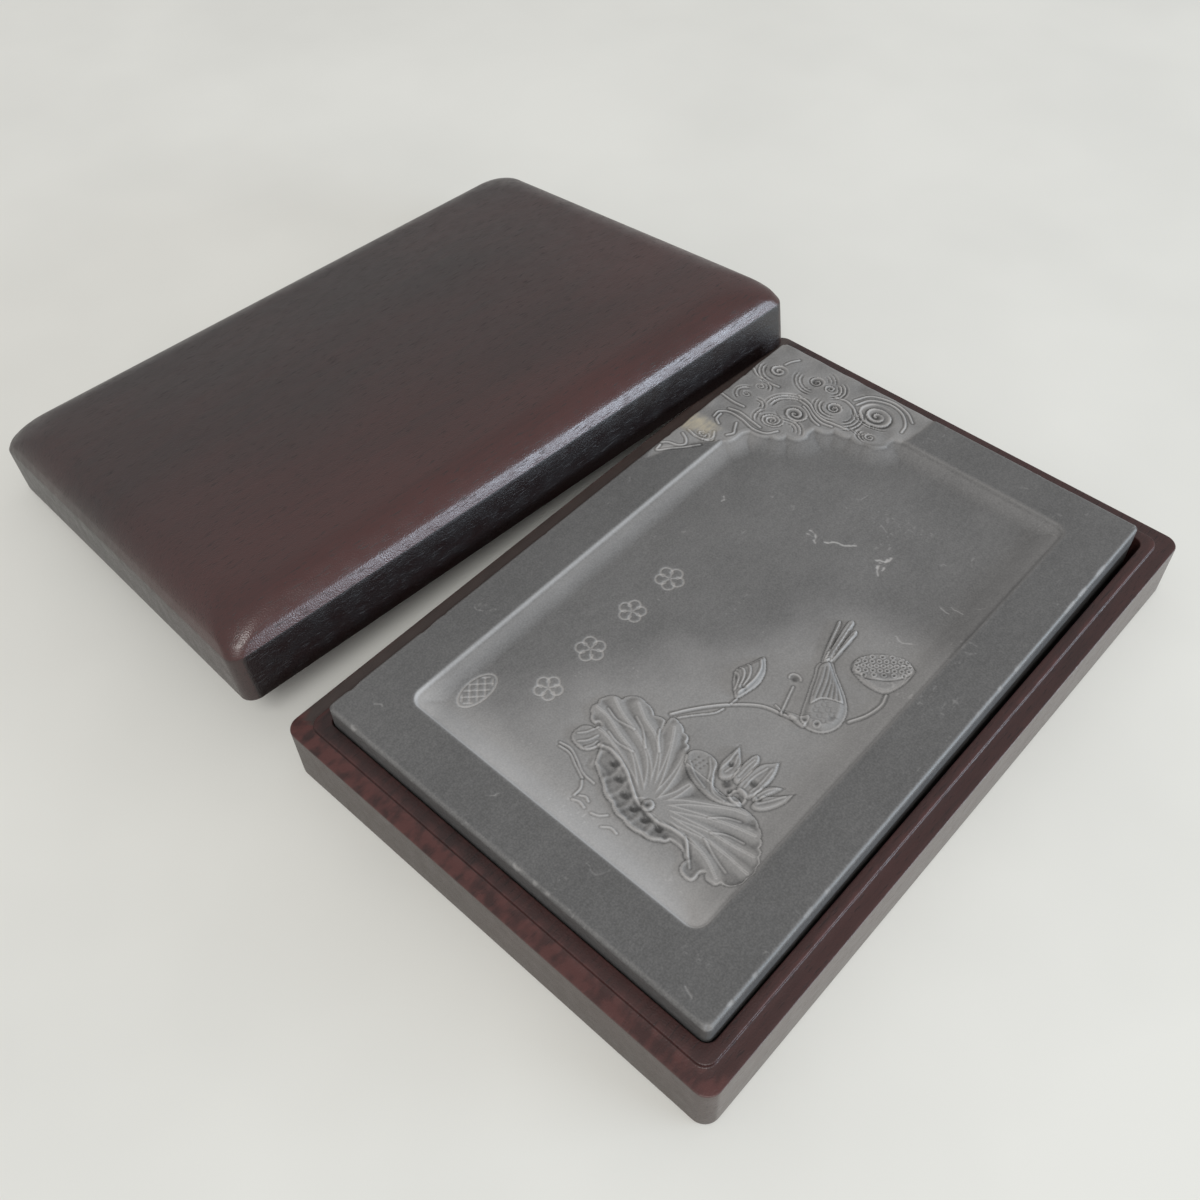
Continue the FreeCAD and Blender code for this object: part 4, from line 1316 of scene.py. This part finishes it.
# %% Bird's shapes
BIRD_LEVEL = -1.40
TAIL = [
    [(23.0, 1.0), (20.9, 6.6), (18.9, 13.0), (18.2, 15.5), (19.4, 15.3), (21.4, 9.0), (23.8, 2.4)],
    [(24.6, 2.4), (24.0, 8.4), (23.6, 15.2), (24.9, 15.3), (25.4, 9.0), (25.6, 3.2)],
    [(23.4, 1.4), (21.9, 8.8), (20.6, 15.8), (20.9, 18.0), (22.2, 17.8), (22.8, 14.6), (24.0, 8.0),
     (24.8, 2.4)],
]
BIRD_BODY = [(24.9, 3.0), (28.4, 0.2), (31.8, -2.2), (35.4, -5.0), (38.2, -8.2), (39.5, -12.0),
             (39.2, -15.6), (37.2, -18.6), (34.0, -19.9), (30.8, -19.3), (29.2, -16.6), (27.6, -12.6),
             (26.0, -8.6), (24.4, -4.4), (22.9, -0.6)]
BIRD_WING = [(25.4, 1.4), (29.6, -1.6), (33.4, -4.6), (36.2, -7.4), (33.2, -8.8), (30.9, -10.4),
             (29.6, -13.4), (27.6, -9.8), (25.8, -5.2), (24.0, -1.0)]
BEAK = [(32.0, -16.9), (29.4, -18.0), (25.6, -19.2), (25.6, -19.2), (29.0, -20.3), (32.6, -20.2)]
WING_LINES = [[(25.0, -1.4), (26.6, -5.4), (28.6, -10.8)], [(25.8, -0.6), (27.8, -4.8), (29.8, -10.8)],
              [(26.6, 0.2), (29.0, -4.2), (30.8, -9.4)], [(27.6, -0.4), (30.2, -4.4), (32.0, -8.6)],
              [(28.8, -1.2), (31.4, -4.8), (33.4, -8.2)], [(30.2, -2.2), (32.8, -5.2), (34.8, -7.6)]]
TAIL_LINES = [[(20.4, 8.0), (18.9, 14.2)], [(24.6, 4.2), (24.3, 14.0)],
              [(23.6, 3.4), (21.7, 16.4)], [(22.6, 5.0), (21.2, 12.4)]]
EYE = (34.9, -17.6)
BREAST_ROWS = 5
for points in TAIL:
    leave_shape(flowing(points, closed=True), BIRD_LEVEL - 0.25, 0.5, cut=0.18, moat=0.12)
leave_shape(flowing(BEAK, closed=True), BIRD_LEVEL - 0.2, 0.5, cut=0.2, moat=0.1)
leave_shape(flowing(BIRD_BODY, closed=True), BIRD_LEVEL + 0.15, 2.2, cut=0.18, moat=0.16)
leave_shape(flowing(BIRD_WING, closed=True), BIRD_LEVEL + 0.25, 0.9, cut=0.14, moat=0.0, lip=0.05)
print("bird's back at %.2f mm" % (BIRD_LEVEL + 0.25))

# %% Feathers and eye
for points in WING_LINES:
    # Feather cuts are painted darker as shade.
    score(flowing(points), 0.45, 0.24, light=-0.22)
for row in range(BREAST_ROWS):
    for index in range(4 - row % 2):
        place = (32.2 + 1.75 * index - 0.35 * row + 0.9 * (row % 2), -9.8 - 1.45 * row - 0.75 * index)
        score(bow(place, 0.8, 200, 340), 0.30, 0.10, light=-0.12)
for points in TAIL_LINES:
    score(flowing(points), 0.36, 0.2, light=-0.2)
leave_cord(bow(EYE, 0.95, 0, 360), 0.26, 0.10, 0.16)
# The eye and the hollows round it are painted darker as shade.
dimple(EYE, 0.6, 0.3, light=-0.45)
dimple((31.6, -18.5), 1.2, 0.35, light=-0.35, squash=0.6, tilt=15)
dimple((37.0, -13.6), 1.7, 0.20, light=-0.16, squash=0.7, tilt=70)
dimple((21.2, -9.0), 1.3, 0.4, light=-0.4)
leave_cord(bow((21.2, -8.8), 1.7, 20, 215, squash=0.8), 0.34, 0.18)
print("bird feathers", len(WING_LINES) + len(TAIL))

# %% [markdown]
# ### Water lines and small ornaments
# A few reeds and ripples lie under the leaf. The left side of the pool carries a column of
# small plum blossoms and an oval lattice, both plain old ornaments, scratched in with a point
# so that the lines stay pale. Each blossom is turned a little differently.

# %% Reeds and blossoms
RIPPLES = [
    [(-13.0, -66.9), (-9.6, -66.4), (-6.0, -67.8), (-2.0, -69.8), (2.4, -70.2)],
    [(-12.4, -67.8), (-8.6, -67.6), (-5.2, -69.2), (-1.0, -71.0)],
    [(-0.6, -71.6), (0.8, -73.6), (0.9, -76.2)], [(2.0, -75.4), (3.6, -74.6), (5.0, -75.2)],
    [(1.4, -77.4), (3.4, -76.7), (5.4, -77.2)], [(7.8, -77.2), (9.8, -76.4), (11.4, -74.8)],
    [(12.4, -78.4), (14.4, -77.0), (16.6, -77.2)],
]
# Each blossom: centre, radius and turn in degrees
BLOSSOMS = [((-28.2, -4.0), 4.4, 10), ((-28.4, -20.6), 4.1, 40),
            ((-28.0, -38.6), 4.4, 65), ((-27.6, -56.2), 4.1, 25)]
PETAL_COUNT = 5
PETAL_SPAN = 125
STAMEN_TURN = 34
SCRATCH = 0.42


def toward(degrees):
    """A step of length 1 in a direction."""
    return np.array([math.cos(math.radians(degrees)), math.sin(math.radians(degrees))])


def blossom(centre, radius, turn):
    """Five round petals and their stamens, scratched as pale lines."""
    for petal in range(PETAL_COUNT):
        angle = turn + 360 / PETAL_COUNT * petal
        middle = centre + 0.58 * radius * toward(angle)
        edge = bow(middle, 0.42 * radius, angle - PETAL_SPAN, angle + PETAL_SPAN)
        score(edge, SCRATCH, 0.22, light=0.80)
        side = toward(angle + STAMEN_TURN)
        stamen = np.array([centre + 0.10 * radius * side, centre + 0.42 * radius * side])
        score(stamen, 0.38, 0.20, light=0.75)


for points in RIPPLES:
    leave_cord(flowing(points), 0.36, 0.18, 0.30)
for centre, radius, turn in BLOSSOMS:
    blossom(np.array(centre), radius, turn)
print("ripples", len(RIPPLES), "blossoms", len(BLOSSOMS))

# %% Oval lattice
LATTICE_CENTRE = (-41.8, -69.8)
LATTICE_HALF = (3.6, 6.8)
LATTICE_INNER = 0.86
lattice_squash = LATTICE_HALF[0] / LATTICE_HALF[1]
score(bow(LATTICE_CENTRE, LATTICE_HALF[1], 0, 360, lattice_squash, 90), 0.45, 0.25, light=0.80)
for slant in (-1, 1):
    for shift in (-6, -3, 0, 3, 6):
        reach = np.linspace(-3, 3, 13)
        line = np.stack([LATTICE_CENTRE[0] + reach, LATTICE_CENTRE[1] + shift + slant * reach], 1)
        off_centre = (line - LATTICE_CENTRE) / LATTICE_HALF
        kept = line[np.hypot(off_centre[:, 0], off_centre[:, 1]) < LATTICE_INNER]
        if len(kept) > 1:
            score(kept, SCRATCH, 0.22, light=0.70)
print("lowest cut %.2f mm" % relief.min())

# %% [markdown]
# ### Natural marks
# The stone has thin pale cracks and scratches. Each starts somewhere and wanders in small
# steps, so it is grown with seeded random turns, not drawn. A fine noise breaks it up.

# %% Cracks and scratches
# Each crack: where it starts, its heading in degrees, length, seed and strength
CRACKS = [
    ((-8.8, 38.4), -12, 6.5, 3, 0.9), ((-2.6, 37.4), 38, 10.0, 4, 1.0), ((-8.6, 36.8), 35, 3.4, 5, 0.7),
    ((13.0, 41.6), 5, 6.0, 6, 1.0), ((15.4, 44.0), -80, 5.2, 7, 0.9), ((14.4, 41.4), 50, 4.0, 8, 0.9),
    ((14.6, 40.0), -35, 4.2, 9, 0.8), ((36.0, 38.6), 30, 4.6, 10, 0.6), ((39.6, 40.8), -28, 4.2, 11, 0.6),
    ((44.4, 44.4), -10, 3.4, 12, 0.5), ((33.4, 21.6), -22, 7.0, 13, 0.55),
    ((-37.4, 32.4), -40, 2.6, 14, 0.8), ((-36.6, 30.4), 35, 2.4, 15, 0.7),
    ((-62.8, -50.2), -35, 4.0, 16, 0.5), ((-58.2, -92.6), 20, 3.0, 17, 0.5),
    ((-15.0, -92.6), 62, 4.0, 18, 0.4), ((56.0, -97.0), -30, 3.6, 19, 0.5),
    ((52.8, 8.6), 70, 7.0, 20, 0.35), ((56.4, -40.0), 80, 6.0, 22, 0.35),
    ((-63.6, 18.0), -60, 3.0, 23, 0.35), ((30.0, 93.0), 15, 5.0, 24, 0.3),
    ((17.0, -89.4), 5, 9.0, 25, 0.30), ((-6.0, 58.0), 100, 5.0, 26, 0.3),
    ((5.8, 54.8), -70, 4.2, 27, 0.35),
]
CRACK_STEP = 0.55
CRACK_WANDER = 0.30
ragged = value_noise(0.9, 31)
patchy = value_noise(2.6, 32)
for start, heading, length, seed, strength in CRACKS:
    chance = np.random.default_rng(seed)
    turns = np.radians(heading) + np.cumsum(chance.normal(0, CRACK_WANDER, int(length / CRACK_STEP)))
    steps = CRACK_STEP * np.stack([np.cos(turns), np.sin(turns)], 1)
    path = np.array(start) + np.concatenate([np.zeros((1, 2)), np.cumsum(steps, 0)])
    part = window(path, 1.2)
    width = 0.22 + 0.50 * ragged[part] * strength
    whole_places = ease((patchy[part] + 0.5 * ragged[part] + 0.5 * strength - 0.60) / 0.35)
    broken = ease(1 - distance_to(path, part) / width) * whole_places
    dust_and_painted_light[part] += 0.85 * strength * broken
    relief[part] -= 0.06 * broken
spotted = ease((value_noise(0.8, 33) * value_noise(6.0, 34) - 0.72) / 0.12)
dust_and_painted_light += 0.20 * spotted
print("cracks", len(CRACKS))

# %% [markdown]
# ### Edges and tone
# The border has a narrow bevel with tiny chips. The crests of all carving are rubbed pale,
# partly as a painted highlight, and the bottoms are painted a little darker as shade. To tell
# crest from bottom, each height is compared with the mean height around it. An amber patch by
# the clouds belongs to the stone.

# %% Bevel and crests
DUST_AND_LIGHT_RANGE = (-0.25, 1.2)
CREST_REACH = 3
CREST_HEIGHT = 0.20
edge_inset = rounded_distance(STONE_LEFT, STONE_RIGHT, STONE_NEAR, STONE_FAR, STONE_CORNER)
chips = np.clip(value_noise(2.2, 11) * value_noise(9, 12) - 0.42, 0, 1) * 1.4
relief -= np.clip(STONE_BEVEL + chips - np.maximum(edge_inset, 0), 0, None)


def soften(field, reach):
    """The mean of a field over a square of grid steps."""
    total = np.pad(field, reach, mode="edge")
    size = 2 * reach + 1
    for axis in (0, 1):
        summed = np.cumsum(total, axis=axis)
        summed = np.concatenate([np.zeros_like(np.take(summed, [0], axis=axis)), summed], axis=axis)
        upper = np.take(summed, range(size, summed.shape[axis]), axis=axis)
        lower = np.take(summed, range(0, summed.shape[axis] - size), axis=axis)
        total = (upper - lower) / size
    return total


crest = np.clip((relief - soften(relief, CREST_REACH)) / CREST_HEIGHT, -1, 1) * ease(edge_inset / 2)
# Crests paler, partly a painted highlight; bottoms darker as painted shade.
dust_and_painted_light += 0.16 * np.maximum(crest, 0) + 0.14 * np.minimum(crest, 0)
dust_and_painted_light += (0.12 + 2.0 * np.minimum(chips, 0.2)) * near_line(edge_inset, 0.5, 0.6)
near_corner = np.hypot(EAST - STONE_RIGHT, NORTH - STONE_NEAR)
dust_and_painted_light += 0.35 * ease(1 - near_corner / 3.5)
dust_and_painted_light = np.clip(dust_and_painted_light, *DUST_AND_LIGHT_RANGE)
print("dust mean %.2f" % dust_and_painted_light.mean())

# %% Amber patch
# Centre and half widths of the patch and of its thin tail
AMBER_PATCH = ((-63.4, 50.0), (6.8, 5.6))
AMBER_TAIL = ((-59.6, 53.4), (3.2, 1.6))


def oval_reach(oval):
    """Distance from an oval's centre, where 1 is on the oval."""
    (middle_x, middle_y), (half_x, half_y) = oval
    return np.hypot((EAST - middle_x) / half_x, (NORTH - middle_y) / half_y)


amber = ease(1.15 - oval_reach(AMBER_PATCH) + 0.9 * (value_noise(3.0, 41) - 0.5)) * panel
amber = np.maximum(amber, 0.9 * ease(1.2 - oval_reach(AMBER_TAIL)) * panel)
print("amber over %.0f square mm" % (amber.sum() * GRID_PITCH ** 2))

# %% [markdown]
# ### From height map to stone
# The grid becomes the top of the mesh. At the four corners the grid's square corner is drawn
# in to the round one. The right side runs in a little toward the far end, as on a hand-sawn
# slab. From the edge a skirt drops down the sides to the lower bevel, and the underside is
# closed by a fan of faces.

# %% Corners and the right side
RIGHT_DRAW_IN = 0.008
BORDER_START = STONE_RIGHT - 11.0


def round_corners(east, north):
    """Draw the grid's square corners in to the stone's round ones."""
    middle_x, middle_y = (STONE_LEFT + STONE_RIGHT) / 2, (STONE_NEAR + STONE_FAR) / 2
    core_x = (STONE_RIGHT - STONE_LEFT) / 2 - STONE_CORNER
    core_y = (STONE_FAR - STONE_NEAR) / 2 - STONE_CORNER
    square_x, square_y = np.abs(east - middle_x) - core_x, np.abs(north - middle_y) - core_y
    at_corner = (square_x > 0) & (square_y > 0)
    share = np.maximum(square_x, square_y) / np.maximum(np.hypot(square_x, square_y), TINY)
    new_x = np.where(at_corner, middle_x + np.sign(east - middle_x) * (core_x + square_x * share), east)
    new_y = np.where(at_corner, middle_y + np.sign(north - middle_y) * (core_y + square_y * share), north)
    return new_x, new_y


def draw_in_right(east, north):
    """Narrow the right border toward the far end of the stone."""
    share = np.clip((east - BORDER_START) / (STONE_RIGHT - BORDER_START), 0, 1)
    return east - share * RIGHT_DRAW_IN * (north - STONE_NEAR)


print("far right corner drawn in by %.1f mm" % (RIGHT_DRAW_IN * (STONE_FAR - STONE_NEAR)))

# %% Stone mesh
# Levels of the skirt's rings between the bevels, below the top
SKIRT_DROPS = (2, 8)


def stone_mesh():
    """The stone's closed mesh, with its finish values on every point."""
    east, north = round_corners(EAST, NORTH)
    east = draw_in_right(east, north)
    top = np.stack([east, north, STONE_TOP + relief], -1).reshape(-1, 3)
    index = np.arange(rows * columns).reshape(rows, columns)
    faces = np.stack([index[:-1, :-1], index[:-1, 1:], index[1:, 1:], index[1:, :-1]], -1).reshape(-1, 4)
    border = np.concatenate([index[0, :-1], index[:-1, -1], index[-1, :0:-1], index[:0:-1, 0]])
    rim = top[border]
    middle = np.array([(STONE_LEFT + STONE_RIGHT) / 2, (STONE_NEAR + STONE_FAR) / 2, 0])
    inward = 1 - STONE_BEVEL / np.array([STONE_RIGHT - middle[0], STONE_FAR - middle[1], 1])
    flat = rim * (1, 1, 0)
    levels = [flat + (0, 0, STONE_TOP - drop) for drop in SKIRT_DROPS]
    levels.append(flat + (0, 0, STONE_BOTTOM + STONE_BEVEL))
    levels.append(middle + (flat - middle) * inward + (0, 0, STONE_BOTTOM))
    points = np.concatenate([top] + levels + [middle[None] + (0, 0, STONE_BOTTOM)])
    loops = [border] + [len(top) + len(rim) * step + np.arange(len(rim)) for step in range(len(levels))]
    skirt = [np.stack([low, np.roll(low, -1), np.roll(high, -1), high], -1)
             for high, low in zip(loops, loops[1:])]
    centre = len(top) + len(rim) * len(levels)
    fan = [(centre, int(after), int(before)) for before, after in zip(loops[-1], np.roll(loops[-1], -1))]
    mesh = bpy.data.meshes.new("carved_stone")
    mesh.from_pydata((points * MM).tolist(), [], np.concatenate([faces] + skirt).tolist() + fan)
    extra = len(mesh.vertices) - len(top)
    for name, field in (("dust_and_painted_light", dust_and_painted_light), ("amber", amber)):
        layer = mesh.attributes.new(name, "FLOAT", "POINT")
        layer.data.foreach_set("value", np.concatenate([field.ravel(), np.zeros(extra)]).astype(np.float32))
    mesh.polygons.foreach_set("use_smooth", np.ones(len(mesh.polygons), bool))
    mesh.update()
    return mesh


stone_piece = bpy.data.objects.new("carved_stone", stone_mesh())
bpy.context.scene.collection.objects.link(stone_piece)
print("stone faces", len(stone_piece.data.polygons))

# %% [markdown]
# ### Slate finish
# The polished border is a dark even grey with a soft gloss. Carved and ground stone scatters
# the light and looks pale and dusty, and the colour ramp below runs from one to the other
# over the paleness value, which also holds the painted shade and sheen of the carving. Fine
# specks run through all of it.

# %% Slate finish
POLISHED = (0.113, 0.112, 0.111)
POWDERY = (0.400, 0.392, 0.385)
AMBER_STONE = (0.44, 0.395, 0.30)
# Blobs of each noise per metre: across the stone, along it and through it
SPECKS = (1900, 1900, 1900)
PATCHES = (60, 34, 60)
STREAKS = (700, 240, 700)


def slate():
    """Fine grey stone whose paleness and gloss follow the carving."""
    material, tree, shader = new_material("grey_slate")
    place = tree.nodes.new("ShaderNodeTexCoord").outputs["Object"]
    specks = noise_at(tree, place, SPECKS, detail=3.0)
    patches = noise_at(tree, place, PATCHES, detail=4.0)
    streaks = noise_at(tree, place, STREAKS, detail=3.0, rough=0.6)
    uneven = plus(tree, between(tree, patches, 0.3, 0.7, -0.035, 0.035),
                  between(tree, streaks, 0.3, 0.7, -0.03, 0.03))
    speckled = between(tree, specks, 0.3, 0.7, -0.085, 0.085)
    tone = plus(tree, plus(tree, attribute(tree, "dust_and_painted_light"), uneven), speckled)
    stops = [(0.0, shade(POLISHED, 0.50)), (0.2, POLISHED), (1.0, POWDERY)]
    body = ramp(tree, between(tree, tone, DUST_AND_LIGHT_RANGE[0], 1.0), stops)
    yellow = times(tree, attribute(tree, "amber"), between(tree, streaks, 0.35, 0.6, 0.35, 0.9))
    tree.links.new(blend_colours(tree, yellow, body, AMBER_STONE), shader.inputs["Base Color"])
    tree.links.new(between(tree, tone, 0.0, 0.4, 0.40, 0.75), shader.inputs["Roughness"])
    shader.inputs["Specular IOR Level"].default_value = 0.40
    skin = bump(tree, streaks, 0.12, 0.15)
    tree.links.new(bump(tree, specks, 0.08, 0.35, skin), shader.inputs["Normal"])
    return material


stone_piece.data.materials.append(slate())
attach(stone_piece, "stone")
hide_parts("stone")
print("stone finish", stone_piece.data.materials[0].name)
